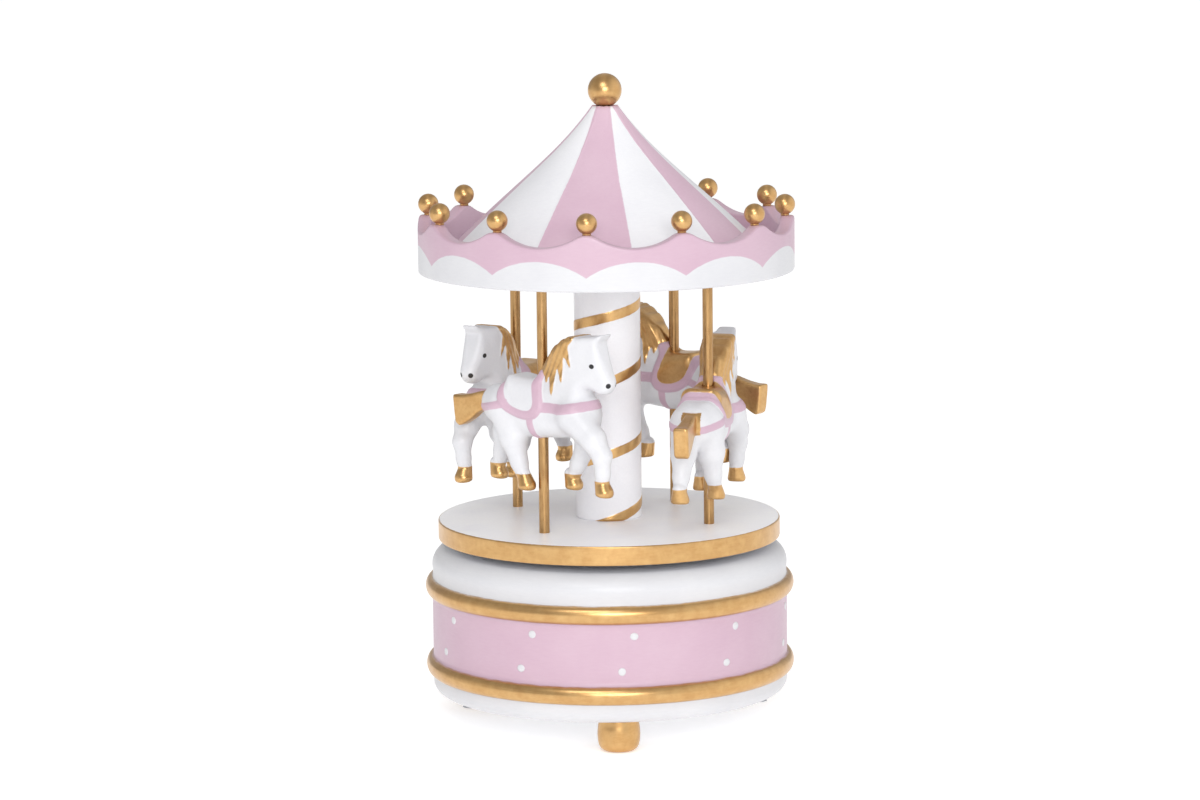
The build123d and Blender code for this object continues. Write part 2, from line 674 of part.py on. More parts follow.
# ================================================================ pinned cylinder and comb
FIRST_TRACK_X = CYLINDER_X[0] + 0.775
PIN_TRACKS = [(FIRST_TRACK_X + NOTE_PITCH * n, (137.5 * n + 151 * n * n) % 360) for n in range(NOTES)]


def pin_planes():
    """Where each pin stands: two pins to a note, square to the cylinder's skin."""
    for x, first in PIN_TRACKS:
        for angle in (first, first + 140 + 2 * x):
            out = Vector(0, cos(radians(angle)), sin(radians(angle)))
            yield Plane(origin=Vector(x, 0, AXLE_Z) + out * (CYLINDER_R - 0.5), x_dir=(1, 0, 0), z_dir=out)


with BuildPart() as cylinder_pins:
    with Locations(*pin_planes()):
        Cylinder(PIN_R, PIN_TIP_R - CYLINDER_R + 0.5, align=(Align.CENTER, Align.CENTER, Align.MIN))

with BuildPart() as music_cylinder:
    with BuildSketch(on_x(CYLINDER_X[0])):
        with Locations(AXLE_SPOT):
            Circle(CYLINDER_R)
    extrude(amount=CYLINDER_X[1] - CYLINDER_X[0])
    END_CAP_T, TUBE_WALL = 1.2, 0.7
    with BuildSketch(on_x(CYLINDER_X[0] + END_CAP_T)):
        with Locations(AXLE_SPOT):
            Circle(CYLINDER_R - TUBE_WALL)
    extrude(amount=CYLINDER_X[1] - CYLINDER_X[0] - 2 * END_CAP_T, mode=Mode.SUBTRACT)
    with BuildSketch(on_x(CYLINDER_X[0])):
        with Locations(AXLE_SPOT):
            Circle(AXLE_R)
    extrude(amount=CYLINDER_X[1] - CYLINDER_X[0], mode=Mode.SUBTRACT)
    with Locations(*pin_planes()):
        Cylinder(
            PIN_R, PIN_TIP_R - CYLINDER_R + 0.5,
            align=(Align.CENTER, Align.CENTER, Align.MIN), mode=Mode.SUBTRACT,
        )

with BuildPart() as cylinder_axle:
    with BuildSketch(on_x(DRIVE_R - 1.8)):
        with Locations(AXLE_SPOT):
            Circle(AXLE_R)
    extrude(amount=CHEEK_A_X[1] + 0.3 - DRIVE_R + 1.8)

with BuildPart() as cylinder_pinion:
    with BuildSketch(on_x(DRIVE_R - 1.5)):
        with Locations(AXLE_SPOT):
            add(gear_outline(PINION_TEETH, PINION_R + 0.5, PINION_R - 0.55, 360 / PINION_TEETH / 2))
            Circle(AXLE_R, mode=Mode.SUBTRACT)
    extrude(amount=3.0)

with BuildPart() as cylinder_gear:
    gear_r = CYLINDER_GEAR_TEETH * MODULE / 2
    with BuildSketch(on_x(CYLINDER_GEAR_X[0])):
        with Locations(AXLE_SPOT):
            add(gear_outline(CYLINDER_GEAR_TEETH, gear_r + 0.32, gear_r - 0.65, 0))
            Circle(AXLE_R, mode=Mode.SUBTRACT)
    extrude(amount=CYLINDER_GEAR_X[1] - CYLINDER_GEAR_X[0])

with BuildPart() as comb:
    comb_width = CYLINDER_X[1] - CYLINDER_X[0]
    with BuildSketch(Plane.XY.offset(COMB_LOW)):
        with Locations((CYLINDER_X[0], COMB_ROOT_Y)):
            Rectangle(comb_width, COMB_BACK_Y - COMB_ROOT_Y, align=(Align.MIN, Align.MIN))
        with Locations([(x, COMB_TIP_Y) for x, angle in PIN_TRACKS]):
            Rectangle(0.55, COMB_ROOT_Y - COMB_TIP_Y, align=(Align.CENTER, Align.MIN))
        with Locations(COMB_SCREWS):
            Circle(COMB_SCREW_R, mode=Mode.SUBTRACT)
    extrude(amount=COMB_T)

with BuildPart() as comb_screws:
    comb_screw = screw(COMB_SCREW_R, COMB_T + 5.5, 1.9, 1.1)
    with Locations([(x, y, COMB_LOW - 1.1) for x, y in COMB_SCREWS]):
        add(comb_screw)

# ================================================================ governor
GOVERNOR_FOOT_LOW = 43.2
with BuildPart() as governor_frame:
    foot_y = (-13.2, 3.0)
    with BuildSketch(Plane.XY.offset(GOVERNOR_FOOT_LOW)):
        with Locations((CHEEK_A_X[0], foot_y[0])):
            Rectangle(CHEEK_B_X[1] - CHEEK_A_X[0], foot_y[1] - foot_y[0], align=(Align.MIN, Align.MIN))
        with Locations(GOVERNOR_SCREWS):
            Circle(GOVERNOR_SCREW_R, mode=Mode.SUBTRACT)
    extrude(amount=BED_LOW - GOVERNOR_FOOT_LOW)
    for cheek_x in (CHEEK_A_X, CHEEK_B_X):
        with BuildSketch(on_x(cheek_x[0])):
            with Locations((foot_y[0], CHEEK_LOW)):
                Rectangle(
                    foot_y[1] - foot_y[0], GOVERNOR_FOOT_LOW - CHEEK_LOW, align=(Align.MIN, Align.MIN)
                )
        extrude(amount=cheek_x[1] - cheek_x[0])
    with BuildSketch(Plane.XY.offset(CHEEK_LOW)):
        with Locations((CHEEK_A_X[0], WORM_Y)):
            Rectangle(CHEEK_B_X[1] - CHEEK_A_X[0], 4.4, align=(Align.MIN, Align.CENTER))
    extrude(amount=1.4)
    WORM_SHAFT_R = 0.7
    with BuildSketch(Plane.XY.offset(CHEEK_LOW - 1)):
        with Locations((WORM_WHEEL_X, WORM_Y)):
            Circle(WORM_SHAFT_R + RUN)
    extrude(amount=20, mode=Mode.SUBTRACT)
    with BuildSketch(on_x(CHEEK_A_X[0])):
        with Locations(AXLE_SPOT):
            Circle(AXLE_R + RUN)
    extrude(amount=CHEEK_A_X[1] - CHEEK_A_X[0], mode=Mode.SUBTRACT)
    with BuildSketch(on_x(CHEEK_A_X[0])):
        with Locations(GOVERNOR_SPOT):
            Circle(GOVERNOR_AXLE_R + RUN)
    extrude(amount=CHEEK_B_X[1] - CHEEK_A_X[0], mode=Mode.SUBTRACT)

with BuildPart() as governor_screws:
    governor_screw = screw(GOVERNOR_SCREW_R, BED_LOW - GOVERNOR_FOOT_LOW + 1.6, 1.5, 0.8)
    with Locations([(x, y, GOVERNOR_FOOT_LOW - 0.8) for x, y in GOVERNOR_SCREWS]):
        add(governor_screw)

with BuildPart() as governor_axle:
    with BuildSketch(on_x(CYLINDER_GEAR_X[0] - 0.5)):
        with Locations(GOVERNOR_SPOT):
            Circle(GOVERNOR_AXLE_R)
    extrude(amount=CHEEK_B_X[1] + 0.2 - CYLINDER_GEAR_X[0] + 0.5)

with BuildPart() as governor_pinion:
    governor_r = GOVERNOR_TEETH * MODULE / 2
    with BuildSketch(on_x(CYLINDER_GEAR_X[0] - 0.2)):
        with Locations(GOVERNOR_SPOT):
            add(gear_outline(GOVERNOR_TEETH, governor_r + 0.5, governor_r - 0.55, 360 / GOVERNOR_TEETH / 2))
            Circle(GOVERNOR_AXLE_R, mode=Mode.SUBTRACT)
    extrude(amount=CYLINDER_GEAR_X[1] - CYLINDER_GEAR_X[0] + 0.4)

with BuildPart() as worm_wheel:
    wheel_r = WORM_WHEEL_TEETH * MODULE / 2
    with BuildSketch(on_x(WORM_WHEEL_X - WORM_WHEEL_T / 2)):
        with Locations(GOVERNOR_SPOT):
            add(gear_outline(WORM_WHEEL_TEETH, wheel_r + 0.4, wheel_r - 0.6, 0))
            Circle(GOVERNOR_AXLE_R, mode=Mode.SUBTRACT)
    extrude(amount=WORM_WHEEL_T)

with BuildPart() as worm_shaft:
    WORM_CORE_R = WORM_R - 0.55
    WORM_TIP_R = WORM_R + 0.4
    THREAD_HALF = 0.22               # half the thread's width at the pitch line
    worm_low = AXLE_Z - 2.25 * WORM_LEAD
    with BuildSketch(Plane.XY.offset(FLY_LOW - 0.5)):
        Circle(WORM_SHAFT_R)
    extrude(amount=GOVERNOR_FOOT_LOW + 1.0 - FLY_LOW + 0.5)
    thread_h = WORM_LEAD * WORM_TURNS
    thread_path = Helix(WORM_LEAD, thread_h, WORM_R, center=(0, 0, worm_low), mode=Mode.PRIVATE)
    with BuildSketch(Plane(thread_path @ 0, x_dir=(1, 0, 0), z_dir=thread_path % 0)):
        slope = tan(PRESSURE_ANGLE)
        Polygon(
            (WORM_CORE_R - WORM_R - 0.1, -THREAD_HALF - slope * 0.55),
            (WORM_TIP_R - WORM_R, -THREAD_HALF + slope * 0.4),
            (WORM_TIP_R - WORM_R, THREAD_HALF - slope * 0.4),
            (WORM_CORE_R - WORM_R - 0.1, THREAD_HALF + slope * 0.55),
            align=None,
        )
    sweep(path=thread_path, is_frenet=True)

with BuildPart() as fly:
    with BuildSketch(Plane.XY.offset(FLY_LOW)):
        Circle(1.6)
        Rectangle(2 * FLY_R, 0.6)
        Circle(WORM_SHAFT_R, mode=Mode.SUBTRACT)
    extrude(amount=FLY_HIGH - FLY_LOW)

for placed, label in ((worm_shaft, "worm_shaft"), (fly, "fly")):
    with BuildPart() as standing:
        with Locations((WORM_WHEEL_X, WORM_Y, 0)):
            add(placed.part)
    write(standing, label)

# ================================================================ write the rest
write(base_drum, "base_drum")
write(base_plate, "base_plate")
write(feet, "feet")
write(plate_screws, "plate_screws")
write(arbor_bush, "arbor_bush")
write(thrust_washer, "thrust_washer")
write(platform, "platform")
write(platform_insert, "platform_insert")
write(center_column, "center_column")
write(canopy_disc, "canopy_disc")
write(canopy_crown, "canopy_crown")
write(crown_balls, "crown_balls")
write(canopy_roof, "canopy_roof")
write(finial_ball, "finial_ball")
write(arbor, "arbor")
write(arbor_clip, "arbor_clip")
write(drive_wheel, "drive_wheel")
write(spring_housing, "spring_housing")
write(mainspring, "mainspring")
write(bedplate, "bedplate")
write(movement_screws, "movement_screws")
write(housing_screws, "housing_screws")
write(cylinder_pins, "cylinder_pins")
write(music_cylinder, "music_cylinder")
write(cylinder_axle, "cylinder_axle")
write(cylinder_pinion, "cylinder_pinion")
write(cylinder_gear, "cylinder_gear")
write(comb, "comb")
write(comb_screws, "comb_screws")
write(governor_frame, "governor_frame")
write(governor_screws, "governor_screws")
write(governor_axle, "governor_axle")
write(governor_pinion, "governor_pinion")
write(worm_wheel, "worm_wheel")
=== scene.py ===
"""Carousel music box: the looks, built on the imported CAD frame.

Shapes are in millimetres and degrees. The camera, the lights and the floor are in metres.
"""
import json
import math

import bpy
import numpy as np
import openvdb as vdb
from mathutils import Matrix, Vector


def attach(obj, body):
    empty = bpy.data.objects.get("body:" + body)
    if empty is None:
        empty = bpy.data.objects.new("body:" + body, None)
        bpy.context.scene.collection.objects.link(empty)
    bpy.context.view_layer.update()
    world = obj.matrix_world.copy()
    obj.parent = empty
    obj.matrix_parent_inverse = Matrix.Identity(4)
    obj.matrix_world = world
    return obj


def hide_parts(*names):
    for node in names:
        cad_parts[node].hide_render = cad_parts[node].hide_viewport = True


MM = 0.001                  # one millimetre in metres
PER_METRE = 1000            # millimetres in a metre
FAR = 99.0                  # a distance in mm that is further than any on the object
UP = np.array((0.0, 0.0, 1.0))

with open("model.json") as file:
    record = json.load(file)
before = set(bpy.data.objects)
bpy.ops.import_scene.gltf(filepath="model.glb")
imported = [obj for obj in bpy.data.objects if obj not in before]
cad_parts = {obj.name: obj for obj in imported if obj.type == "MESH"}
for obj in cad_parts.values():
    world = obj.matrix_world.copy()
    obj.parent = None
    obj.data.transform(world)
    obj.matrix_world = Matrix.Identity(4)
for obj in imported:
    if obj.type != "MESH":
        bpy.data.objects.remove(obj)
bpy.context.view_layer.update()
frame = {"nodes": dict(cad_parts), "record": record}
nodes = frame["nodes"]


# ---------------------------------------------------------------- camera
EYE_PLACE = (0, -1.3, 0.29195)
EYE_TARGET = (-0.0023, 0, 0.09545)
ROLL = 0.6
SENSOR_WIDTH = 36           # mm on the camera's sensor, as is the focal length
FOCAL_LENGTH = 134.3


def place_camera():
    """The photograph's view: a long lens from a little above the finial, slightly rolled."""
    eye = Vector(EYE_PLACE)
    target = Vector(EYE_TARGET)
    roll = math.radians(ROLL)
    forward = (target - eye).normalized()
    right = forward.cross(Vector((0, 0, 1))).normalized()
    up = right.cross(forward)
    rolled_right = right * math.cos(roll) - up * math.sin(roll)
    rolled_up = right * math.sin(roll) + up * math.cos(roll)
    data = bpy.data.cameras.new("view")
    data.sensor_width = SENSOR_WIDTH
    data.lens = FOCAL_LENGTH
    data.clip_start = 0.05
    data.clip_end = 30
    camera = bpy.data.objects.new("view", data)
    bpy.context.scene.collection.objects.link(camera)
    turn = Matrix((rolled_right, rolled_up, -forward)).transposed().to_4x4()
    camera.matrix_world = Matrix.Translation(eye) @ turn
    bpy.context.scene.camera = camera


place_camera()


# ---------------------------------------------------------------- node materials
EDGE_SOFT = 0.12            # how far a painted edge fades out, to each side
EDGE_WOBBLE = 0.15          # how far a hand-painted edge strays
FINE_EDGE = (0.06, 0.05)    # the same two for the eyes and nostrils
STREAK_R = 50               # the radius at which streaks round the axis have their stated length


def linear(red, green, blue):
    """An sRGB colour, 0 to 255, as the linear colour that the shader wants."""
    out = []
    for value in (red, green, blue):
        c = value / 255
        out.append(c / 12.92 if c <= 0.04045 else ((c + 0.055) / 1.055) ** 2.4)
    return (*out, 1.0)


def set_range(node, low, high, start, end):
    """Fill in a Map Range node that carries low to high over to start to end."""
    node.inputs["From Min"].default_value = low
    node.inputs["From Max"].default_value = high
    node.inputs["To Min"].default_value = start
    node.inputs["To Max"].default_value = end


class Graph:
    """One material's nodes, with short calls for the few kinds used here."""

    def __init__(self, name):
        self.material = bpy.data.materials.new(name)
        self.material.use_nodes = True
        self.tree = self.material.node_tree
        self.shader = self.tree.nodes["Principled BSDF"]
        coordinates = self.tree.nodes.new("ShaderNodeTexCoord")
        self.place = coordinates.outputs["Object"]

    def put(self, socket, value):
        """Link value to the socket, or store it there when it is a plain value."""
        if isinstance(value, bpy.types.NodeSocket):
            self.tree.links.new(value, socket)
        else:
            socket.default_value = value

    def math(self, operation, a, b=0.0, clamp=False):
        node = self.tree.nodes.new("ShaderNodeMath")
        node.operation = operation
        node.use_clamp = clamp
        self.put(node.inputs[0], a)
        self.put(node.inputs[1], b)
        return node.outputs[0]

    def scaled(self, x, y, z):
        """The object coordinates, stretched so that one unit is 1/x, 1/y and 1/z metres."""
        node = self.tree.nodes.new("ShaderNodeMapping")
        self.put(node.inputs["Vector"], self.place)
        node.inputs["Scale"].default_value = (x, y, z)
        return node.outputs[0]

    def noise(self, size, detail=3.0, rough=0.5, place=None):
        """Noise from 0 to 1, its features about size millimetres across, or size units of place."""
        node = self.tree.nodes.new("ShaderNodeTexNoise")
        self.put(node.inputs["Vector"], self.place if place is None else place)
        node.inputs["Scale"].default_value = (PER_METRE if place is None else 1) / size
        node.inputs["Detail"].default_value = detail
        node.inputs["Roughness"].default_value = rough
        return node.outputs[0]

    def around(self, size, along=1.0):
        """Noise drawn out round the vertical axis, as a brush or a lathe tool leaves it."""
        split = self.tree.nodes.new("ShaderNodeSeparateXYZ")
        self.put(split.inputs[0], self.place)
        x, y, z = split.outputs
        squares = [self.math("MULTIPLY", side, side) for side in (x, y)]
        radius = self.math("SQRT", self.math("ADD", *squares))
        turn = self.math("ARCTAN2", x, y)
        join = self.tree.nodes.new("ShaderNodeCombineXYZ")
        self.put(join.inputs[0], self.math("MULTIPLY", radius, PER_METRE / size))
        self.put(join.inputs[1], self.math("MULTIPLY", turn, STREAK_R / (size * along)))
        self.put(join.inputs[2], self.math("MULTIPLY", z, PER_METRE / size))
        return self.noise(1, 4.0, 0.6, join.outputs[0])

    def mask(self, attribute, soft=EDGE_SOFT, wobble=EDGE_WOBBLE):
        """1 inside a painted area and 0 outside, from its signed distance in mm."""
        node = self.tree.nodes.new("ShaderNodeAttribute")
        node.attribute_name = attribute
        centred = self.math("SUBTRACT", self.noise(1.6, 2.0), 0.5)
        shake = self.math("MULTIPLY", centred, 2 * wobble)
        edge = self.math("ADD", node.outputs["Fac"], shake)
        return self.math("SUBTRACT", 0.5, self.math("DIVIDE", edge, 2 * soft), clamp=True)

    def between(self, socket, low, high):
        """1 where socket, in metres, lies between low and high millimetres."""
        fade = 2 * EDGE_SOFT * MM
        above = self.math("DIVIDE", self.math("SUBTRACT", socket, low * MM), fade)
        below = self.math("DIVIDE", self.math("SUBTRACT", high * MM, socket), fade)
        lower = self.math("ADD", above, 0.5, clamp=True)
        upper = self.math("ADD", below, 0.5, clamp=True)
        return self.math("MULTIPLY", lower, upper)

    def mix(self, share, a, b, kind="RGBA"):
        """a where share is 0 and b where it is 1. The node has its own sockets for each kind."""
        node = self.tree.nodes.new("ShaderNodeMix")
        node.data_type = kind
        first, second, out = {"FLOAT": (2, 3, 0), "RGBA": (6, 7, 2)}[kind]
        self.put(node.inputs[0], share)
        self.put(node.inputs[first], a)
        self.put(node.inputs[second], b)
        return node.outputs[out]

    def ramp(self, socket, low, high, start, end):
        """socket carried from the range low to high over to the range start to end."""
        node = self.tree.nodes.new("ShaderNodeMapRange")
        self.put(node.inputs["Value"], socket)
        set_range(node, low, high, start, end)
        return node.outputs[0]

    def finish(self, colour, metallic, roughness, height, depth):
        """Wire up the shader: where height is 1, the surface stands depth millimetres high."""
        self.put(self.shader.inputs["Base Color"], colour)
        self.put(self.shader.inputs["Metallic"], metallic)
        self.put(self.shader.inputs["Roughness"], roughness)
        bump = self.tree.nodes.new("ShaderNodeBump")
        bump.inputs["Strength"].default_value = 1.0
        bump.inputs["Distance"].default_value = depth * MM
        self.put(bump.inputs["Height"], height)
        self.put(self.shader.inputs["Normal"], bump.outputs[0])
        return self.material


WHITE = linear(233, 233, 236)
WHITE_WORN = linear(226, 226, 230)
PINK = linear(224, 193, 209)
PINK_DEEP = linear(216, 181, 200)
GOLD = linear(207, 165, 109)
GOLD_DARK = linear(194, 150, 95)
GOLD_LIGHT = linear(218, 179, 123)
DARK = linear(22, 20, 22)


def toned(colour, share):
    """The colour scaled by share: painted shade below 1 and painted light above 1."""
    return (*(min(1.0, value * share) for value in colour[:3]), 1.0)


def painted(name, areas, brushed=True, painted_light=0.82, pink_painted_light=0.79):
    """Satin white, pink, gold and dark paint.

    areas is a function of the graph that gives the shares of pink, gold and dark. The last two
    arguments paint light and shade into the white and the pink: a factor below 1 paints shade on a
    part that the lamps light too brightly, and one above 1 paints light on a part that they leave
    too dim, such as the column and the platform in the shade of the canopy. The gold stays as it
    is.
    """
    g = Graph(name)
    pink, gold, dark = areas(g)
    cloud = g.noise(14, 3.0)
    fine = g.noise(1.1, 3.0, 0.6)
    streak = g.around(0.55, 5.0) if brushed else g.noise(0.8, 4.0, 0.6)
    mottle = g.math("ADD", g.math("MULTIPLY", cloud, 0.6), g.math("MULTIPLY", streak, 0.4))
    # painted light and shade: the white and the pink scaled for how much light each part gets
    whites = (toned(WHITE, painted_light), toned(WHITE_WORN, painted_light))
    pinks = (toned(PINK, pink_painted_light), toned(PINK_DEEP, pink_painted_light))
    white_tone = g.mix(g.ramp(mottle, 0.35, 0.65, 0, 1), *whites)
    pink_tone = g.mix(g.ramp(mottle, 0.3, 0.7, 0, 1), *pinks)
    gold_low = g.mix(g.ramp(streak, 0.2, 0.75, 0, 1), GOLD_DARK, GOLD)
    gold_tone = g.mix(g.ramp(g.noise(3.2, 4.0, 0.6), 0.4, 0.85, 0, 1), gold_low, GOLD_LIGHT)
    colour = g.mix(pink, white_tone, pink_tone)
    colour = g.mix(gold, colour, gold_tone)
    colour = g.mix(dark, colour, DARK)
    paint_rough = g.ramp(mottle, 0.3, 0.7, 0.36, 0.46)
    gold_rough = g.ramp(g.noise(0.6, 3.0, 0.6), 0.3, 0.7, 0.29, 0.33)
    rough = g.mix(gold, paint_rough, gold_rough, "FLOAT")
    grain = g.math("ADD", g.math("MULTIPLY", fine, 0.5), g.math("MULTIPLY", streak, 0.5))
    grain_share = g.math("SUBTRACT", 1.0, g.math("MULTIPLY", gold, 0.85))
    layers = g.math("ADD", g.math("MULTIPLY", pink, 0.6), gold)
    height = g.math("ADD", g.math("MULTIPLY", grain, grain_share), layers)
    g.shader.inputs["Coat Weight"].default_value = 0.12
    g.shader.inputs["Coat Roughness"].default_value = 0.2
    return g.finish(colour, g.math("MULTIPLY", gold, 0.95), rough, height, 0.04)


def metal(name, light, dark, rough, size, stretch=(1, 1, 1), depth=0.01):
    """Bare or plated metal with streaks of this size, drawn out along x, y and z by stretch."""
    g = Graph(name)
    x, y, z = (PER_METRE / (size * s) for s in stretch)
    streak = g.noise(1, 4.0, 0.65, g.scaled(x, y, z))
    stain = g.noise(9, 3.0)
    share = g.math("ADD", g.math("MULTIPLY", streak, 0.6), g.math("MULTIPLY", stain, 0.4))
    colour = g.mix(g.ramp(share, 0.35, 0.65, 0, 1), dark, light)
    roughness = g.ramp(streak, 0.3, 0.7, rough - 0.06, rough + 0.08)
    return g.finish(colour, 1.0, roughness, streak, depth)


def moulded(name, light, dark, rough):
    """Moulded plastic with a fine grain."""
    g = Graph(name)
    grain = g.noise(0.35, 3.0, 0.6)
    colour = g.mix(g.noise(6, 3.0), dark, light)
    roughness = g.ramp(grain, 0.3, 0.7, rough, rough + 0.1)
    return g.finish(colour, 0.0, roughness, grain, 0.02)


GOLD_BANDS = ((15.35, 20.55), (38.7, 43.95))
PINK_BAND = (19, 40)


def drum_areas(g):
    """The drum's gold beads and pink band, by height, with edges that waver by up to 0.25 mm."""
    split = g.tree.nodes.new("ShaderNodeSeparateXYZ")
    g.put(split.inputs[0], g.place)
    wave = g.math("MULTIPLY", g.math("SUBTRACT", g.around(1.6, 3.0), 0.5), 0.5 * MM)
    z = g.math("ADD", split.outputs[2], wave)
    gold = g.math("ADD", *(g.between(z, *band) for band in GOLD_BANDS))
    return g.between(z, *PINK_BAND), gold, 0.0


def attribute_areas(pink=None, gold=None, dark=None, more_gold=None):
    """Painted areas, each from the mesh attribute that holds its signed distance."""
    def areas(g):
        shares = [g.mask(name) if name else 0.0 for name in (pink, gold)]
        if more_gold:
            shares[1] = g.math("MAXIMUM", shares[1], g.mask(more_gold))
        shares.append(g.mask(dark, *FINE_EDGE) if dark else 0.0)
        return shares
    return areas


brass_rod = metal("brass_rod", linear(198, 160, 110), linear(160, 122, 80), 0.3, 0.5, (1, 1, 9))
all_gold = painted("gold_paint", lambda g: (0.0, 1.0, 0.0))
# these keep the default factors, which paint shade: the white and the pink made darker
white_paint = painted("white_paint", lambda g: (0.0, 0.0, 0.0))
SLOT_LOOKS = {
    "white_paint": white_paint,
    "pink_paint": painted("pink_paint", lambda g: (1.0, 0.0, 0.0)),
    "gold_paint": all_gold,
    "horse_white": white_paint,
    "brass_rod": brass_rod,
    "brass": metal("brass", linear(222, 184, 112), linear(176, 132, 66), 0.24, 0.6),
    "zinc_screw": metal("zinc_screw", linear(205, 208, 212), linear(150, 152, 158), 0.3, 0.5),
    "plated_steel": metal("plated_steel", linear(198, 200, 205), linear(158, 160, 166), 0.28, 0.7,
                          (6, 1, 1)),
    "spring_steel": metal("spring_steel", linear(120, 124, 134), linear(70, 74, 84), 0.25, 0.5,
                          (1, 6, 1)),
    "cast_metal": metal("cast_metal", linear(168, 168, 166), linear(128, 128, 128), 0.42, 0.9,
                        depth=0.04),
    "nylon": moulded("nylon", linear(236, 232, 220), linear(220, 214, 200), 0.4),
    "black_plastic": moulded("black_plastic", linear(44, 44, 46), linear(28, 28, 30), 0.42),
}
node_slots = {row["node"]: row["material_slot"] for row in frame["record"]["subparts"]}
for name, node in nodes.items():
    look = SLOT_LOOKS[node_slots[name]]
    slots = node.data.materials
    if not slots:
        slots.append(look)
    for index in range(len(slots)):
        slots[index] = look


# ---------------------------------------------------------------- mesh helpers
def new_piece(name, points, faces, look, body, slot, *replaced, layers=()):
    """A smooth mesh from points in mm, riding on a body and standing for CAD nodes.

    layers holds one value for each point, under each attribute's name.
    """
    mesh = bpy.data.meshes.new(name)
    mesh.from_pydata((np.asarray(points) * MM).tolist(), [], faces)
    mesh.update()
    for layer, values in dict(layers).items():
        attribute = mesh.attributes.new(layer, "FLOAT", "POINT")
        attribute.data.foreach_set("value", np.asarray(values, np.float32))
    mesh.polygons.foreach_set("use_smooth", [True] * len(mesh.polygons))
    mesh.materials.append(look)
    piece = bpy.data.objects.new(name, mesh)
    bpy.context.scene.collection.objects.link(piece)
    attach(piece, body)
    if replaced:
        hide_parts(*replaced)
    return piece


def lathe(profile, around=256):
    """(radius, height) pairs turned round the axis, where a radius of 0 closes an end."""
    points, rows = [], []
    for radius, height in profile:
        if radius == 0:
            rows.append([len(points)])
            points.append((0.0, 0.0, height))
            continue
        rows.append(list(range(len(points), len(points) + around)))
        for k in range(around):
            turn = 2 * math.pi * k / around
            points.append((radius * math.sin(turn), -radius * math.cos(turn), height))
    faces = []
    for low, high in zip(rows, rows[1:]):
        for k in range(around):
            n = (k + 1) % around
            if len(low) == 1:
                faces.append((low[0], high[n], high[k]))
            elif len(high) == 1:
                faces.append((low[k], low[n], high[0]))
            else:
                faces.append((low[k], low[n], high[n], high[k]))
    return np.array(points), faces


def arc(centre, radius, start, end, steps):
    """(radius, height) pairs along an arc, its angles in degrees from the outward direction."""
    pairs = []
    for k in range(steps + 1):
        angle = math.radians(start + (end - start) * k / steps)
        out, up = radius * math.cos(angle), radius * math.sin(angle)
        pairs.append((centre[0] + out, centre[1] + up))
    return pairs


def spaced(pairs, step):
    """The same profile with points added so that none is further than step from the next."""
    out = [pairs[0]]
    for a, b in zip(pairs, pairs[1:]):
        parts = max(1, math.ceil(math.dist(a, b) / step))
        for k in range(1, parts + 1):
            out.append((a[0] + (b[0] - a[0]) * k / parts, a[1] + (b[1] - a[1]) * k / parts))
    return out


def joined(copies):
    """Several (points, faces) as one."""
    points, faces, base = [], [], 0
    for some, shapes in copies:
        points.append(some)
        faces.extend([tuple(i + base for i in face) for face in shapes])
        base += len(some)
    return np.vstack(points), faces


def azimuths(points):
    """Each point's azimuth in degrees, from the front (-Y) towards +X."""
    return np.degrees(np.arctan2(points[:, 0], -points[:, 1]))


def spot(radius, azimuth):
    """The point at this radius and azimuth, at height 0."""
    a = math.radians(azimuth)
    return np.array((radius * math.sin(a), -radius * math.cos(a), 0.0))


# ---------------------------------------------------------------- drum
BASE_R = 52.3
PLATE_TOP = 15.3
BEAD_R = 2.65
BEAD_PROUD = 2.0
LOWER_BEAD = PLATE_TOP + BEAD_R
UPPER_BEAD = 41.3
DRUM_TOP = 52.8
SHOULDER = 5.2
CAVITY_R = 44.0
CAVITY_TOP = 46.8
DRUM_BORE_R = 3.6


def bead(height):
    """A bead's half round, standing proud of the drum."""
    pairs = []
    for degrees in range(-90, 91, 12):
        a = math.radians(degrees)
        pairs.append((BASE_R + BEAD_PROUD * math.cos(a), height + BEAD_R * math.sin(a)))
    return pairs


drum_profile = [(CAVITY_R, PLATE_TOP), (BASE_R - 0.3, PLATE_TOP)]
drum_profile += bead(LOWER_BEAD)
drum_profile += bead(UPPER_BEAD)
drum_profile += [(BASE_R - 0.15, 44.3), (BASE_R - 0.15, 46.0)]
drum_profile += arc((BASE_R - SHOULDER, DRUM_TOP - SHOULDER), SHOULDER, 0, 90, 14)
drum_profile += [(30.0, DRUM_TOP), (DRUM_BORE_R, DRUM_TOP), (DRUM_BORE_R, CAVITY_TOP)]
drum_profile += [(CAVITY_R, CAVITY_TOP), (CAVITY_R, PLATE_TOP)]
drum_points, drum_faces = lathe(spaced(drum_profile, 1.5))
# the default factors paint shade: the drum's white and pink are made darker
drum_look = painted("drum_paint", drum_areas)
new_piece("drum_body", drum_points, drum_faces, drum_look, "base", "white_paint", "base_drum")


DOT_SIDES = 20
DOT_R = 1.15
DOT_RISE = 0.22
DOT_RINGS = ((1.0, -0.05), (0.96, 0.5), (0.8, 0.85), (0.45, 1.0))   # shares of the two above
DOT_TIP = 1.02              # the tip's share of DOT_RISE
DOT_ROWS = {                # azimuths, by height
    35.2: (-166, -131, -96, -60, -25.2, 7.5, 43.5, 79.5, 115, 154),
    25.0: (-171, -138, -101, -66, -29.3, 3.6, 39.6, 75.6, 112, 150),
}


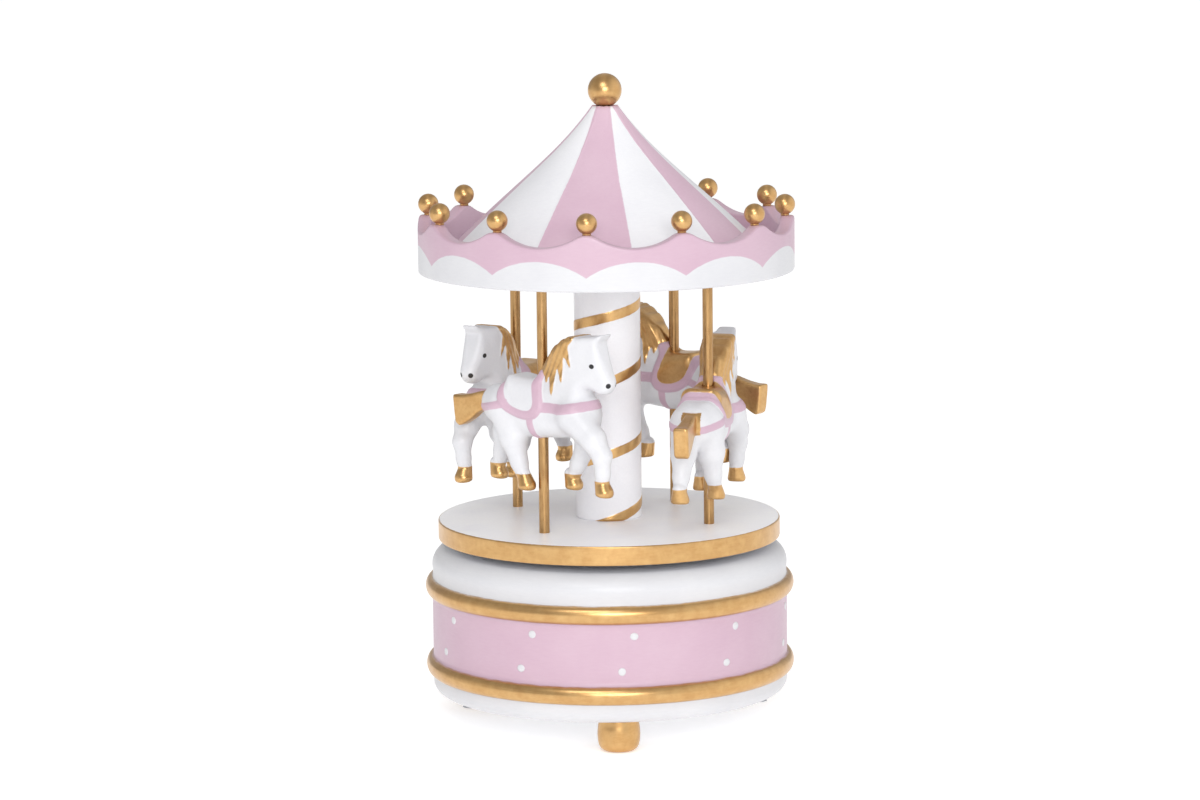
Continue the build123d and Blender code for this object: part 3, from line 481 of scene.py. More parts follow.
def dot(azimuth, height):
    """One raised dot of white paint on the drum's band, each a little out of round."""
    out = spot(1.0, azimuth)
    side = np.array((-out[1], out[0], 0.0))
    points, faces = [], []
    wobble = 0.06 * math.sin(azimuth)
    for share, rise in DOT_RINGS:
        for k in range(DOT_SIDES):
            turn = math.radians(360 * k / DOT_SIDES)
            reach = DOT_R * share * (1 + wobble * math.cos(2 * turn))
            x = reach * math.cos(turn)
            bulge = math.sqrt(BASE_R ** 2 - x ** 2) + DOT_RISE * rise
            points.append(side * x + UP * (height + reach * math.sin(turn)) + out * bulge)
    points.append(UP * height + out * (BASE_R + DOT_RISE * DOT_TIP))
    last_ring = DOT_SIDES * (len(DOT_RINGS) - 1)
    for low in range(0, last_ring, DOT_SIDES):
        high = low + DOT_SIDES
        for k in range(DOT_SIDES):
            n = (k + 1) % DOT_SIDES
            faces.append((low + k, low + n, high + n, high + k))
    tip = len(points) - 1
    faces += [(last_ring + k, last_ring + (k + 1) % DOT_SIDES, tip) for k in range(DOT_SIDES)]
    return np.array(points), faces


dots = joined([dot(azimuth, height) for height, row in DOT_ROWS.items() for azimuth in row])
new_piece("band_dots", *dots, white_paint, "base", "white_paint")


# ---------------------------------------------------------------- feet
FOOT_CIRCLE = 42.0
FIRST_FOOT = 3

foot_profile = [(0, 0.0), (3.4, 0.0), (4.5, 0.25), (5.35, 0.9), (5.85, 1.9), (6.1, 3.2)]
foot_profile += [(6.2, 4.8), (6.1, 6.6), (5.85, 8.2), (5.75, 9.7)]
foot_profile += [(2.5, 9.7), (2.5, 13.2), (0, 13.2)]
foot_points, foot_faces = lathe(spaced(foot_profile, 0.8), 72)
foot_places = [spot(FOOT_CIRCLE, FIRST_FOOT + 120 * k) for k in range(3)]
foot_set = joined([(foot_points + place, foot_faces) for place in foot_places])
new_piece("turned_feet", *foot_set, all_gold, "base", "gold_paint", "feet")


# ---------------------------------------------------------------- platform
PLATFORM_R = 50.3
PLATFORM_LOW = 55.2
PLATFORM_TOP = 60.9
PLATFORM_BORE_R = 4.0
GOLD_EDGE = 0.32            # how far in from the rim the gold paint reaches

platform_profile = [(PLATFORM_BORE_R, PLATFORM_TOP), (PLATFORM_BORE_R, PLATFORM_LOW)]
platform_profile += [(PLATFORM_R - 0.5, PLATFORM_LOW)]
platform_profile += arc((PLATFORM_R - 0.5, PLATFORM_LOW + 0.5), 0.5, -90, 0, 4)
platform_profile += arc((PLATFORM_R - 0.4, PLATFORM_TOP - 0.4), 0.4, 0, 90, 4)
platform_profile += [(PLATFORM_BORE_R, PLATFORM_TOP)]
platform_points, platform_faces = lathe(spaced(platform_profile, 1.0))
rim = PLATFORM_R - GOLD_EDGE - np.hypot(platform_points[:, 0], platform_points[:, 1])
# painted light: the platform's white is made much lighter, against the shade of the canopy
platform_look = painted("platform_paint", attribute_areas(gold="rim"), painted_light=1.22)
new_piece("platform_disc", platform_points, platform_faces, platform_look, "carousel",
          "white_paint", "platform", layers={"rim": rim})


# ---------------------------------------------------------------- column
COLUMN_R = 9.7
CANOPY_LOW = 134.05
TAPE_TURNS = (-270, 90, 450, 810, 990, 1170, 1530)
TAPE_HEIGHTS = (45.0, 66.2, 85.4, 107.6, 117.4, 125.0, 144.0)
TAPE_HALF = 1.5
TAPE_FADE = 0.5
TAPE_RISE = 0.12

levels = [(9.3, PLATFORM_TOP), (COLUMN_R, PLATFORM_TOP + 0.3)]
levels += [(COLUMN_R, z) for z in np.arange(61.6, 133.6, 0.4)]
levels += [(COLUMN_R, CANOPY_LOW - 0.3), (9.3, CANOPY_LOW)]
levels += [(5.0, CANOPY_LOW), (5.0, CANOPY_LOW + 10)]       # the spigot inside the canopy
column_points, column_faces = lathe(levels, 160)
turn = azimuths(column_points)
tape = np.full(len(column_points), FAR)
for whole in range(-1, 5):
    middle = np.interp(turn + 360 * whole, TAPE_TURNS, TAPE_HEIGHTS)
    tape = np.minimum(tape, np.abs(column_points[:, 2] - middle) - TAPE_HALF)
raised = np.clip(0.5 - tape / TAPE_FADE, 0, 1) * TAPE_RISE
wall = np.hypot(column_points[:, 0], column_points[:, 1]) > COLUMN_R - 0.1
column_points[wall, :2] *= (1 + raised[wall] / COLUMN_R)[:, None]
# painted light: the column's white is made much lighter, against the shade of the canopy
column_look = painted("column_paint", attribute_areas(gold="tape"), painted_light=1.18)
new_piece("column_turned", column_points, column_faces, column_look, "carousel",
          "white_paint", "center_column", layers={"tape": tape})


# ---------------------------------------------------------------- crown ring
CROWN_R = 55.0
CROWN_WALL = 4.0
PEAK_Z = 150.1
TROUGH_Z = 146.3
SCALLOP = 30.0
SCALLOP_LENGTH = 28.8       # the same round the rim, in mm
HALF_SCALLOP = math.pi * CROWN_R / 12
FIRST_PEAK = -6.0
ARC_CUSP = CANOPY_LOW + 4.1
ARC_RISE = 4.4
FLAT_HALF = 1.7
SOFTENING = (-1.0, -0.5, 0.0, 0.5, 1.0)     # the edge is the mean of itself at these shifts, in mm
CROWN_SIDES = 480


def crown_edge(azimuth):
    """Height of the scalloped top edge: flat soft-cornered peaks and hollow arcs between."""
    chord = HALF_SCALLOP - FLAT_HALF
    depth = PEAK_Z - TROUGH_Z
    radius = (chord ** 2 + depth ** 2) / (2 * depth)
    total = np.zeros_like(azimuth)
    for shift in SOFTENING:
        share = (azimuth - FIRST_PEAK) / SCALLOP + shift / SCALLOP_LENGTH
        along = np.abs(share - np.floor(share) - 0.5) * math.pi * CROWN_R / 6
        total += TROUGH_Z + radius - np.sqrt(radius ** 2 - np.minimum(along, chord) ** 2)
    return total / len(SOFTENING)


def band_edge(azimuth):
    """Height where the outside's white band ends: an arch between each two cusps."""
    share = (azimuth - FIRST_PEAK) / SCALLOP
    along = (share - np.floor(share) - 0.5) * math.pi * CROWN_R / 6
    radius = (HALF_SCALLOP ** 2 + ARC_RISE ** 2) / (2 * ARC_RISE)
    return ARC_CUSP + ARC_RISE - radius + np.sqrt(radius ** 2 - along ** 2)


def crown():
    """The ring's points, faces and the signed distance of its pink paint."""
    azimuth = np.arange(CROWN_SIDES) * 360 / CROWN_SIDES + FIRST_PEAK
    a = np.radians(azimuth)
    edge = crown_edge(azimuth)
    inner = CROWN_R - CROWN_WALL
    rows = [(inner, 0.0), (CROWN_R - 0.5, 0.0), (CROWN_R - 0.15, 0.012), (CROWN_R, 0.04)]
    rows += [(CROWN_R, k / 26) for k in range(2, 25)]
    rows += [(CROWN_R, 0.955), (CROWN_R - 0.1, 0.975), (CROWN_R - 0.35, 0.992)]
    rows += [(CROWN_R - 0.8, 1.0), (inner + 0.8, 1.0)]
    rows += [(inner + 0.35, 0.992), (inner + 0.1, 0.975), (inner, 0.955), (inner, 0.3)]
    points, pink, faces = [], [], []
    for radius, share in rows:
        z = CANOPY_LOW + (edge - CANOPY_LOW) * share
        points.append(np.c_[radius * np.sin(a), -radius * np.cos(a), z])
        if radius > CROWN_R - 0.6:
            pink.append(band_edge(azimuth) - z)
        else:                               # the top and the inside are pink, the underside isn't
            pink.append(np.full(CROWN_SIDES, -2.0 if share > 0.2 else 2.0))
    for row in range(len(rows)):
        low, high = row * CROWN_SIDES, (row + 1) % len(rows) * CROWN_SIDES
        for k in range(CROWN_SIDES):
            n = (k + 1) % CROWN_SIDES
            faces.append((low + k, low + n, high + n, high + k))
    return np.vstack(points), faces, np.concatenate(pink)


crown_points, crown_faces, crown_pink = crown()
# the default factors paint shade: the crown's white and pink are made darker
crown_look = painted("crown_paint", attribute_areas(pink="petals"))
new_piece("crown_ring", crown_points, crown_faces, crown_look, "carousel",
          "pink_paint", "canopy_crown", layers={"petals": crown_pink})


# ---------------------------------------------------------------- balls and finial
BALL_R = 3.0
BALL_CENTRE = PEAK_Z + 0.75 + 2.437
BALL_NECK_R = 1.25
BALL_CIRCLE = 52.3
FINIAL_R = 4.95
FINIAL_CENTRE = 186.55
FINIAL_NECK_R = 1.98
ROOF_TIP_Z = 182.0


def knob(radius, centre, neck_r, neck_low):
    """A turned ball on a short neck."""
    seat = math.degrees(math.asin(math.sqrt(1 - (neck_r / radius) ** 2)))
    profile = [(0, neck_low), (neck_r, neck_low), (neck_r, neck_low + 0.35)]
    for a in np.radians(np.linspace(-seat, 84, 22)):
        profile.append((radius * math.cos(a), centre + radius * math.sin(a)))
    profile += [(0, centre + radius)]
    return lathe(profile, 64)


ball_points, ball_faces = knob(BALL_R, BALL_CENTRE, BALL_NECK_R, PEAK_Z - 0.1)
ball_places = [spot(BALL_CIRCLE, FIRST_PEAK + SCALLOP * k) for k in range(12)]
balls = joined([(ball_points + place, ball_faces) for place in ball_places])
finial = knob(FINIAL_R, FINIAL_CENTRE, FINIAL_NECK_R, ROOF_TIP_Z)
new_piece("crown_knobs", *balls, all_gold, "carousel", "gold_paint", "crown_balls")
new_piece("finial_knob", *finial, all_gold, "carousel", "gold_paint", "finial_ball")


# ---------------------------------------------------------------- roof
STRIPES = (-78, -28.0, 10.0, 48, 74.5, 109.1, 143.7, 178.3, 212.9, 247.4)
ROOF_LOW = 139.05
ROOF_R = 47.6
ROOF_TIP_R = 3.9
ROOF_CURVE = ((ROOF_R, ROOF_LOW), (43.5, 142.8), (36.4, 149.7), (26.8, 158.3), (17.3, 167.0),
              (ROOF_TIP_R, ROOF_TIP_Z))
RIDGE_HALF = 0.9            # a low ridge runs along each edge of the stripes
RIDGE_RISE = 0.16
TIP_SPREAD = 0.9            # how much the pink stripes widen towards the tip, to each side
TIP_REACH = 18


def roof_profile():
    """The roof from its underside, over the edge and up to the tip, gently hollow."""
    radii, heights = np.array(ROOF_CURVE)[::-1].T
    fit = np.polyfit(radii, heights, 4)
    outside = [(r, float(np.polyval(fit, r))) for r in np.linspace(ROOF_R, ROOF_TIP_R, 70)]
    inside = [(1.5, ROOF_TIP_Z), (1.5, 175.0)]
    return [(5.0, ROOF_LOW), (47.2, ROOF_LOW)] + outside + inside


roof_points, roof_faces = lathe(roof_profile(), 720)
roof_turn = (azimuths(roof_points) - STRIPES[0]) % 360 + STRIPES[0]
roof_radius = np.hypot(roof_points[:, 0], roof_points[:, 1])
stripe = np.full(len(roof_points), FAR)
pink_side = np.zeros(len(roof_points), bool)
for start, end in zip(STRIPES[1::2], STRIPES[2::2] + (STRIPES[0] + 360,)):
    pink_side |= (roof_turn >= start) & (roof_turn < end)
for boundary in STRIPES:
    away = np.radians((roof_turn - boundary + 180) % 360 - 180)
    stripe = np.minimum(stripe, roof_radius * np.abs(np.sin(away)) + FAR * (np.abs(away) > 1.2))
ridge = np.clip(1 - stripe / RIDGE_HALF, 0, 1) ** 2 * RIDGE_RISE
slope = roof_points[:, 2] > ROOF_LOW + 0.25
roof_points[slope, 2] += ridge[slope]
near_tip = np.clip(1 - (roof_radius - ROOF_TIP_R) / TIP_REACH, 0, 1)
stripe = np.where(pink_side, -stripe, stripe) - TIP_SPREAD * near_tip
# painted light and shade: the roof's white made a little lighter and its pink a little darker
roof_look = painted("roof_paint", attribute_areas(pink="stripe"), painted_light=1.05, pink_painted_light=0.91)
new_piece("roof_cone", roof_points, roof_faces, roof_look, "carousel",
          "white_paint", "canopy_roof", layers={"stripe": stripe})


# ---------------------------------------------------------------- rods
POLE_AZIMUTHS = (-35.1, 63.8, 142.1, -123.2)
HEADINGS = (-39.5, 74.5, 143.0, -123.5)
LIFTS = (0.0, -4.8, 0.0, -2.3)
POLE_CIRCLE = 32.5
POLE_R = 1.5

rod_profile = [(0, 56.9), (1.3, 56.9), (POLE_R, 57.1), (POLE_R, 136.8), (1.3, 137.05), (0, 137.05)]
rod_points, rod_faces = lathe(spaced(rod_profile, 4.0), 40)
for k, azimuth in enumerate(POLE_AZIMUTHS):
    new_piece(f"rod_{k + 1}", rod_points + spot(POLE_CIRCLE, azimuth), rod_faces, brass_rod,
              "carousel", "brass_rod", f"pole_{k + 1}")


# ---------------------------------------------------------------- horse
# f is forward, l is left and h is up, from the rod's axis at the platform's top.
OUTLINE = [
    (12.6, 57.9), (14.5, 58.2), (18.0, 58.6), (21.0, 59.0), (23.2, 59.5), (24.0, 59.6),
    (23.2, 58.3), (22.2, 57.0), (23.1, 54.0), (24.7, 50.0), (26.2, 46.8), (26.2, 44.6),
    (24.7, 42.8), (22.2, 42.3), (19.8, 43.2), (17.9, 43.2), (17.6, 41.9), (18.9, 40.4),
    (20.0, 37.0), (20.2, 33.0), (17.5, 30.2), (11.0, 29.0), (4.0, 28.3), (-3.0, 28.0),
    (-9.0, 28.8), (-14.0, 30.0), (-18.5, 31.5), (-21.0, 34.8), (-21.3, 38.3), (-19.0, 41.3),
    (-15.0, 42.5), (-11.2, 42.8), (-9.8, 44.2), (-9.0, 45.3), (-5.0, 44.9), (-1.0, 44.9),
    (0.9, 46.6), (2.6, 49.8), (5.0, 52.6), (8.5, 55.6), (11.0, 57.2),
]
WIDTHS = (                  # f, h, half width and the share of it that is rounded off
    (-3, 36, 6.2, 0.9), (-15, 36, 5.9, 0.9), (-20.5, 37, 4.8, 0.9), (14, 36, 5.7, 0.9),
    (20, 37, 4.1, 0.95), (10, 43, 4.8, 0.8), (11, 49, 4.2, 0.6), (14, 57.4, 4.3, 0.22),
    (19.5, 50, 3.7, 0.75), (25, 45.5, 2.7, 0.85), (23, 59.5, 3.0, 0.4), (-4, 45, 5.6, 0.45),
    (-9, 44, 5.6, 0.5), (3, 49.5, 2.7, 0.9), (8, 55, 4.2, 0.3),
)
WIDTH_REACH = 3.2           # how far round its place each of these holds
TAIL = [(-18.5, 39.8), (-22.0, 39.7), (-26.5, 38.5), (-30.0, 37.9), (-32.4, 37.8), (-32.9, 37.0),
        (-32.2, 30.4), (-31.5, 29.2), (-30.2, 28.9), (-26.6, 30.8), (-22.8, 33.6), (-18.5, 35.0)]
LEGS = {                    # f, l, h and radius down each leg
    "right_fore": [(14, -3.2, 35.5, 4.6), (21.2, -3.1, 29.6, 3.7), (24.2, -2.8, 25, 2.8),
                   (24.1, -2.5, 20, 2.15), (23.8, -2.3, 16.5, 1.9)],
    "left_fore": [(13.5, 3.2, 35.5, 4.5), (13.4, 3.5, 26.8, 3.3), (9.8, 3.9, 20.6, 2.35),
                  (7.6, 4.1, 16.4, 1.9)],
    "right_hind": [(-12, -2.8, 36.5, 4.9), (-8.8, -2.9, 27.5, 4.0), (-6.7, -3.0, 20.5, 2.5),
                   (-4.9, -3.1, 16.2, 1.9)],
    "left_hind": [(-14.5, 2.8, 36.5, 4.8), (-17, 3.1, 28, 3.7), (-18.8, 3.4, 21.6, 2.4),
                  (-20.2, 3.5, 17.2, 1.9)],
}
HOOVES = ((24.0, -2.3, 13.3), (7.4, 4.1, 13.1), (-4.3, -3.1, 12.8), (-20.4, 3.5, 13.8))
MANE = [(14.6, 62), (14.9, 57.8), (13.3, 55.4), (14.0, 49.4), (11.6, 52.6), (10.9, 45.0),
        (9.0, 49.2), (7.4, 41.2), (5.8, 46.4), (4.6, 44.6), (3.0, 47.6), (1.0, 48.6), (0.5, 53),
        (6, 62)]
FLAP_OUTER = [(-12.2, 48), (-12.1, 43.8), (-11.5, 40.2), (-9.6, 37.0), (-6.2, 34.8),
              (-1.8, 33.9), (1.8, 34.3), (3.9, 36.2), (4.2, 38.6), (3.5, 41.6), (2.7, 44.4),
              (2.0, 48)]
FLAP_INNER = [(-10.3, 48), (-10.2, 44.2), (-9.6, 41.0), (-7.9, 38.3), (-5.2, 36.7),
              (-1.8, 36.1), (0.8, 36.6), (1.8, 38.6), (1.2, 41.4), (0.4, 44.2), (-0.3, 48)]
BREAST = [(4.0, 38.9), (10.6, 38.9), (16.0, 39.7), (23.5, 41.0), (23.5, 38.6), (16.0, 37.1),
          (10.6, 36.3), (4.0, 36.3)]
REAR = [(-8.0, 38.9), (-12.5, 38.0), (-17.0, 37.0), (-23.5, 35.8), (-23.5, 33.9), (-17.0, 35.0),
        (-12.5, 36.0), (-8.0, 36.9)]
GIRTH = [(-1.0, 34.5), (-0.8, 31.0), (-0.8, 26.0), (1.3, 26.0), (1.3, 31.0), (1.2, 34.5)]
EYE = (21.2, 50.6, 0.7)     # f, h and radius
NOSTRIL = (26.0, 1.8, 45.1, 0.8)            # f, l, h and radius
EAR_TOP = 62.4
HORSE_LOW = np.array((-37.0, -10.5, 10.5))  # a box round the horse
HORSE_HIGH = np.array((30.5, 10.5, 63.0))
VOXEL = 0.4
SHELL = 3.0                 # distances are kept only this far from the surface
JOINT_FILLET = 1.0          # within a leg
LEG_FILLET = 2.2            # where a leg meets the body
TAIL_FILLET = 0.5
HOOF_FILLET = 0.25
MANE_RISE = 0.5             # how far the painted parts of the casting stand out
STRAND_RISE = 0.13
STRAND_WIDTH = 1.7
FLAP_RISE = 0.75
STRAP_RISE = 0.3
SADDLE_SINK = 0.2
RELIEF_FADE = 0.7           # the width over which each of them rises
RELIEF_LOW = 26             # the legs below this height have no relief


def smooth_loop(corners, steps=6):
    """A closed Catmull-Rom curve through the corners."""
    p = np.array(corners, float)
    before, after, far = np.roll(p, 1, 0), np.roll(p, -1, 0), np.roll(p, -2, 0)
    out = []
    for t in np.arange(steps) / steps:
        squared = (2 * before - 5 * p + 4 * after - far) * t ** 2
        cubed = (3 * p - before - 3 * after + far) * t ** 3
        out.append(0.5 * (2 * p + (after - before) * t + squared + cubed))
    return np.stack(out, 1).reshape(-1, 2)


def loop_distance(loop, f, h):
    """Signed distance in the f, h plane to a closed loop, negative inside."""
    nearest = np.full(f.shape, 1e9)
    inside = np.zeros(f.shape, bool)
    for (f0, h0), (f1, h1) in zip(loop, np.roll(loop, -1, 0)):
        df, dh = f1 - f0, h1 - h0
        t = np.clip(((f - f0) * df + (h - h0) * dh) / max(df * df + dh * dh, 1e-12), 0, 1)
        nearest = np.minimum(nearest, (f - f0 - t * df) ** 2 + (h - h0 - t * dh) ** 2)
        crosses = (h0 > h) != (h1 > h)
        inside ^= crosses & (f < df * (h - h0) / (dh if dh else 1e-12) + f0)
    return np.where(inside, -1, 1) * np.sqrt(nearest)


def capsule(f, l, h, a, b):
    """Distance to a limb between two (f, l, h, radius) stations."""
    axis = np.array(b[:3]) - np.array(a[:3])
    df, dl, dh = f - a[0], l - a[1], h - a[2]
    t = np.clip((df * axis[0] + dl * axis[1] + dh * axis[2]) / (axis @ axis), 0, 1)
    gap = np.sqrt((df - t * axis[0]) ** 2 + (dl - t * axis[1]) ** 2 + (dh - t * axis[2]) ** 2)
    return gap - (a[3] + (b[3] - a[3]) * t)


def blended(a, b, k):
    """The union of two distances with a fillet of about k."""
    share = np.clip(0.5 + 0.5 * (b - a) / k, 0, 1)
    return b * (1 - share) + a * share - k * share * (1 - share)


def slab(flat, l, half, rounding):
    """The flat outline whose distance in the plane is flat, given a thickness and rounded."""
    q = flat + rounding
    w = np.abs(l) - (half - rounding)
    outside = np.sqrt(np.maximum(q, 0) ** 2 + np.maximum(w, 0) ** 2)
    return outside + np.minimum(np.maximum(q, w), 0) - rounding


def hoof(f, l, h, spot_f, spot_l, low):
    """A bell-shaped hoof standing on the height low."""
    top = (spot_f - 0.6, spot_l, low + 4.3, 1.95)
    bell = capsule(f, l, h, top, (spot_f + 0.5, spot_l, low + 1.1, 2.7))
    sole = low - 0.12 * (f - spot_f) - h
    return -blended(-bell, -sole, 0.6)


def relief(distance, height):
    """How far a painted layer stands out, from its signed distance in the plane."""
    return height * np.clip(0.5 - distance / RELIEF_FADE, 0, 1)


def paint_distances(f, h):
    """Signed distances in the f, h plane to the mane, the saddle's flap and the straps."""
    loops = {"mane": smooth_loop(MANE, 4), "flap_outer": smooth_loop(FLAP_OUTER),
             "flap": smooth_loop(FLAP_INNER)}
    areas = {name: loop_distance(loop, f, h) for name, loop in loops.items()}
    straps = [loop_distance(np.array(loop, float), f, h) for loop in (BREAST, REAR, GIRTH)]
    areas["strap"] = np.minimum.reduce(straps)
    return areas


def horse_solid():
    """The cast horse, with the rod's hole, as signed distances on a grid."""
    axes = [np.arange(a, b, VOXEL) for a, b in zip(HORSE_LOW, HORSE_HIGH)]
    f2, h2 = np.meshgrid(axes[0], axes[2], indexing="ij")
    f, l, h = np.meshgrid(*axes, indexing="ij")

    flat = loop_distance(smooth_loop(OUTLINE), f2, h2)
    weight = [np.exp(-((f2 - row[0]) ** 2 + (h2 - row[1]) ** 2) / (2 * WIDTH_REACH ** 2)) + 1e-9
              for row in WIDTHS]
    half, share = [(sum(w * row[k] for w, row in zip(weight, WIDTHS)) / sum(weight))[:, None, :]
                   for k in (2, 3)]
    body = slab(flat[:, None, :], l, half, share * half)
    for stations in LEGS.values():
        leg = capsule(f, l, h, stations[0], stations[1])
        for a, b in zip(stations[1:], stations[2:]):
            leg = blended(leg, capsule(f, l, h, a, b), JOINT_FILLET)
        body = blended(body, leg, LEG_FILLET)

    layer = paint_distances(f2, h2)
    strands = STRAND_RISE * np.sin((0.89 * f2 - 0.45 * h2) * 2 * math.pi / STRAND_WIDTH)
    mane = relief(layer["mane"], MANE_RISE) + relief(layer["mane"], 1.0) * strands
    raised = np.maximum(mane, relief(layer["flap_outer"], FLAP_RISE))
    raised = np.maximum(raised, relief(layer["strap"], STRAP_RISE))
    raised = raised - relief(layer["flap"], SADDLE_SINK)
    above_legs = np.clip((h2 - RELIEF_LOW) / 2, 0, 1)
    body = body - (raised * above_legs)[:, None, :]

    below_tip = EAR_TOP - h
    groove = 1.1 - np.hypot(l, 0.8 * np.minimum(below_tip, 0)) - 0.7 * np.clip(below_tip, 0, 6)
    ear_gap = np.where((f > 20.5) & (h > 57), groove, -1)
    body = np.maximum(body, np.minimum(ear_gap, 1.0))

    tail_flat = loop_distance(smooth_loop(TAIL, 5), f2, h2)[:, None, :]
    tail_half = np.interp(f2, (-33, -20), (2.25, 1.7))[:, None, :]
    body = blended(body, slab(tail_flat, l, tail_half, 0.75), TAIL_FILLET)
    for place in HOOVES:
        body = blended(body, hoof(f, l, h, *place), HOOF_FILLET)
    return np.maximum(body, POLE_R - np.hypot(f, l))


def horse_paint(f, l, h):
    """The signed distances of the horse's paint areas at points on its surface."""
    near = paint_distances(f, h)
    tail = loop_distance(smooth_loop(TAIL, 5), f, h) - 0.25
    gold = np.where(f < -17, np.where(np.abs(l) < 2.9, tail, 3.0), near["mane"])
    for spot_f, spot_l, low in HOOVES:
        close = (np.abs(l - spot_l) < 3.4) & (np.abs(f - spot_f) < 5.5) & (h < low + 7)
        gold = np.where(close, np.minimum(gold, h - low - 4.5), gold)
    border = np.maximum(near["flap_outer"], -near["flap"])
    pink = np.maximum(np.minimum(near["strap"] - 0.15, border - 0.25), -near["mane"])
    eye = np.hypot(0.8 * (f - EYE[0]), h - EYE[1]) - EYE[2]
    muzzle = np.stack((f - NOSTRIL[0], np.abs(l) - NOSTRIL[1], h - NOSTRIL[2]))
    nostril = np.linalg.norm(muzzle, axis=0) - NOSTRIL[3]
    dark = np.minimum(np.where(np.abs(l) > 1.2, eye, 3.0), nostril)
    return {"gold": gold, "pink": pink, "saddle": near["flap"] + 0.25, "dark": dark}


def sculpt_horse():
    """The cast horse as a fine quad mesh with its paint areas."""
    grid = vdb.FloatGrid(SHELL)
    grid.copyFromArray(np.clip(horse_solid(), -SHELL, SHELL).astype(np.float32))
    points, quads = grid.convertToQuads(isovalue=0.0)
    points = points * VOXEL + HORSE_LOW
    return points, quads[:, ::-1].tolist(), horse_paint(*points.T)


horse_points, horse_faces, horse_layers = sculpt_horse()
plain_areas = attribute_areas("pink", "gold", "dark")
rich_areas = attribute_areas("pink", "gold", "dark", "saddle")
# painted shade: the horses' white is made darker than the paint's own white
plain_horse = painted("horse_paint", plain_areas, brushed=False, painted_light=0.87)
rich_horse = painted("horse_paint_saddle", rich_areas, brushed=False, painted_light=0.87)
for k, azimuth in enumerate(POLE_AZIMUTHS):
    heading = math.radians(HEADINGS[k])
    forward = np.array((math.cos(heading), math.sin(heading), 0.0))
    left = np.array((-math.sin(heading), math.cos(heading), 0.0))
    centre = spot(POLE_CIRCLE, azimuth) + UP * (PLATFORM_TOP + LIFTS[k])
    standing = centre + horse_points @ np.stack((forward, left, UP))
    look = plain_horse if k == 0 else rich_horse
    new_piece(f"horse_cast_{k + 1}", standing, horse_faces, look, "carousel", "horse_white",
              f"horse_{k + 1}", layers=horse_layers)


# ---------------------------------------------------------------- floor and light
FLOOR_CORNERS = ((-9, -4, 0), (9, -4, 0), (9, 14, 0), (-9, 14, 0))
FLOOR_GLOW = 0.38
SURROUND = (0.42, 0.78)     # the surround's light, on its dark side and on its bright side
BRIGHT_SIDE = (0.6, -0.35, 0.45)
PANELS = ((0.0, 0.66), (0.12, 0.3), (0.38, 0.34), (0.5, 0.42), (0.62, 0.3), (0.86, 0.62),
          (1.0, 0.8))       # what the gold mirrors, from the far left, 0, to the far right, 1
PANEL_LIGHT = 1.5
LAMP_TARGET = (0, 0, 0.1)


def backdrop():
    """A plain floor that glows a little, so that it stays white out to the horizon."""
    g = Graph("floor_white")
    tone = g.mix(g.noise(60, 2.0), linear(253, 253, 253), linear(251, 251, 252))
    look = g.finish(tone, 0.0, 0.7, g.noise(3, 2.0), 0.02)
    g.shader.inputs["Specular IOR Level"].default_value = 0.2
    g.shader.inputs["Emission Color"].default_value = (1.0, 1.0, 1.0, 1.0)
    g.shader.inputs["Emission Strength"].default_value = FLOOR_GLOW
    mesh = bpy.data.meshes.new("floor")
    mesh.from_pydata(FLOOR_CORNERS, [], [(0, 1, 2, 3)])
    mesh.materials.append(look)
    floor = bpy.data.objects.new("floor", mesh)
    bpy.context.scene.collection.objects.link(floor)


def soft_box(name, place, size, power):
    """A rectangular area light, turned to the target. Its power is in watts."""
    data = bpy.data.lights.new(name, "AREA")
    data.shape = "RECTANGLE"
    data.size, data.size_y = size
    data.energy = power
    lamp = bpy.data.objects.new(name, data)
    bpy.context.scene.collection.objects.link(lamp)
    lamp.location = place
    away = Vector(LAMP_TARGET) - Vector(place)
    lamp.rotation_euler = away.to_track_quat("-Z", "Y").to_euler()


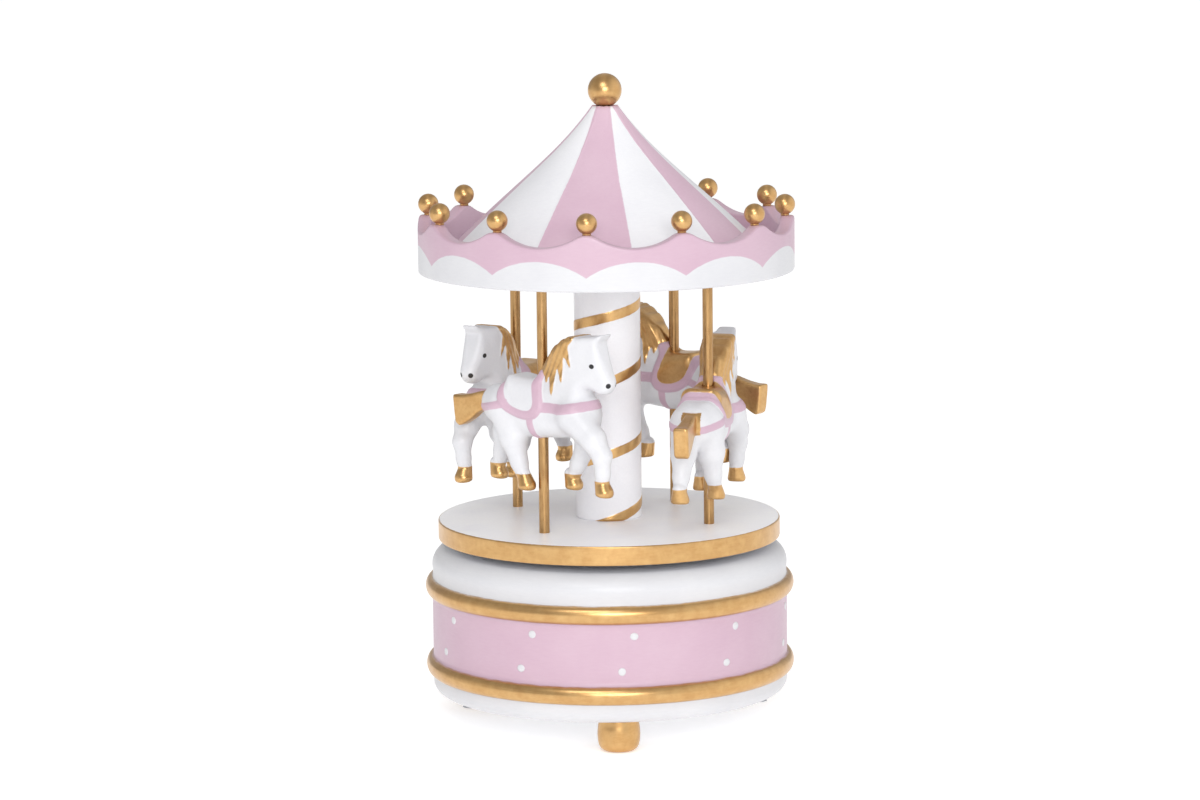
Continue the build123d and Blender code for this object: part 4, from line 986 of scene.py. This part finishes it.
def studio():
    """A white surround, brighter to the right, with bright panels at both sides for the gold."""
    world = bpy.data.worlds.new("studio")
    bpy.context.scene.world = world
    world.use_nodes = True
    tree = world.node_tree
    coordinates = tree.nodes.new("ShaderNodeTexCoord")
    facing = tree.nodes.new("ShaderNodeVectorMath")
    facing.operation = "DOT_PRODUCT"
    facing.inputs[1].default_value = Vector(BRIGHT_SIDE).normalized()
    tree.links.new(coordinates.outputs["Generated"], facing.inputs[0])
    spread = tree.nodes.new("ShaderNodeMapRange")
    set_range(spread, -1, 1, *SURROUND)
    tree.links.new(facing.outputs["Value"], spread.inputs["Value"])

    split = tree.nodes.new("ShaderNodeSeparateXYZ")
    tree.links.new(coordinates.outputs["Generated"], split.inputs[0])
    sideways = tree.nodes.new("ShaderNodeMapRange")
    sideways.inputs["From Min"].default_value = -1
    tree.links.new(split.outputs[0], sideways.inputs["Value"])
    panels = tree.nodes.new("ShaderNodeFloatCurve")
    curve = panels.mapping.curves[0]
    curve.points[0].location = PANELS[0]
    curve.points[-1].location = PANELS[-1]
    for where, level in PANELS[1:-1]:
        curve.points.new(where, level)
    panels.mapping.update()
    tree.links.new(sideways.outputs[0], panels.inputs["Value"])
    lift = tree.nodes.new("ShaderNodeMath")
    lift.operation = "MULTIPLY"
    lift.inputs[1].default_value = PANEL_LIGHT
    tree.links.new(panels.outputs[0], lift.inputs[0])

    choose = tree.nodes.new("ShaderNodeMix")
    light_path = tree.nodes.new("ShaderNodeLightPath")
    background = tree.nodes["Background"]
    tree.links.new(light_path.outputs["Is Glossy Ray"], choose.inputs[0])
    tree.links.new(spread.outputs[0], choose.inputs[2])
    tree.links.new(lift.outputs[0], choose.inputs[3])
    tree.links.new(choose.outputs[0], background.inputs["Strength"])
    background.inputs["Color"].default_value = (1.0, 1.0, 1.0, 1.0)


backdrop()
studio()
soft_box("key", (0.08, -1.38, 0.48), (0.62, 0.36), 6.4)
soft_box("upper", (-0.25, -0.98, 1.05), (0.6, 0.5), 3.6)
bpy.context.scene.view_settings.view_transform = "Standard"
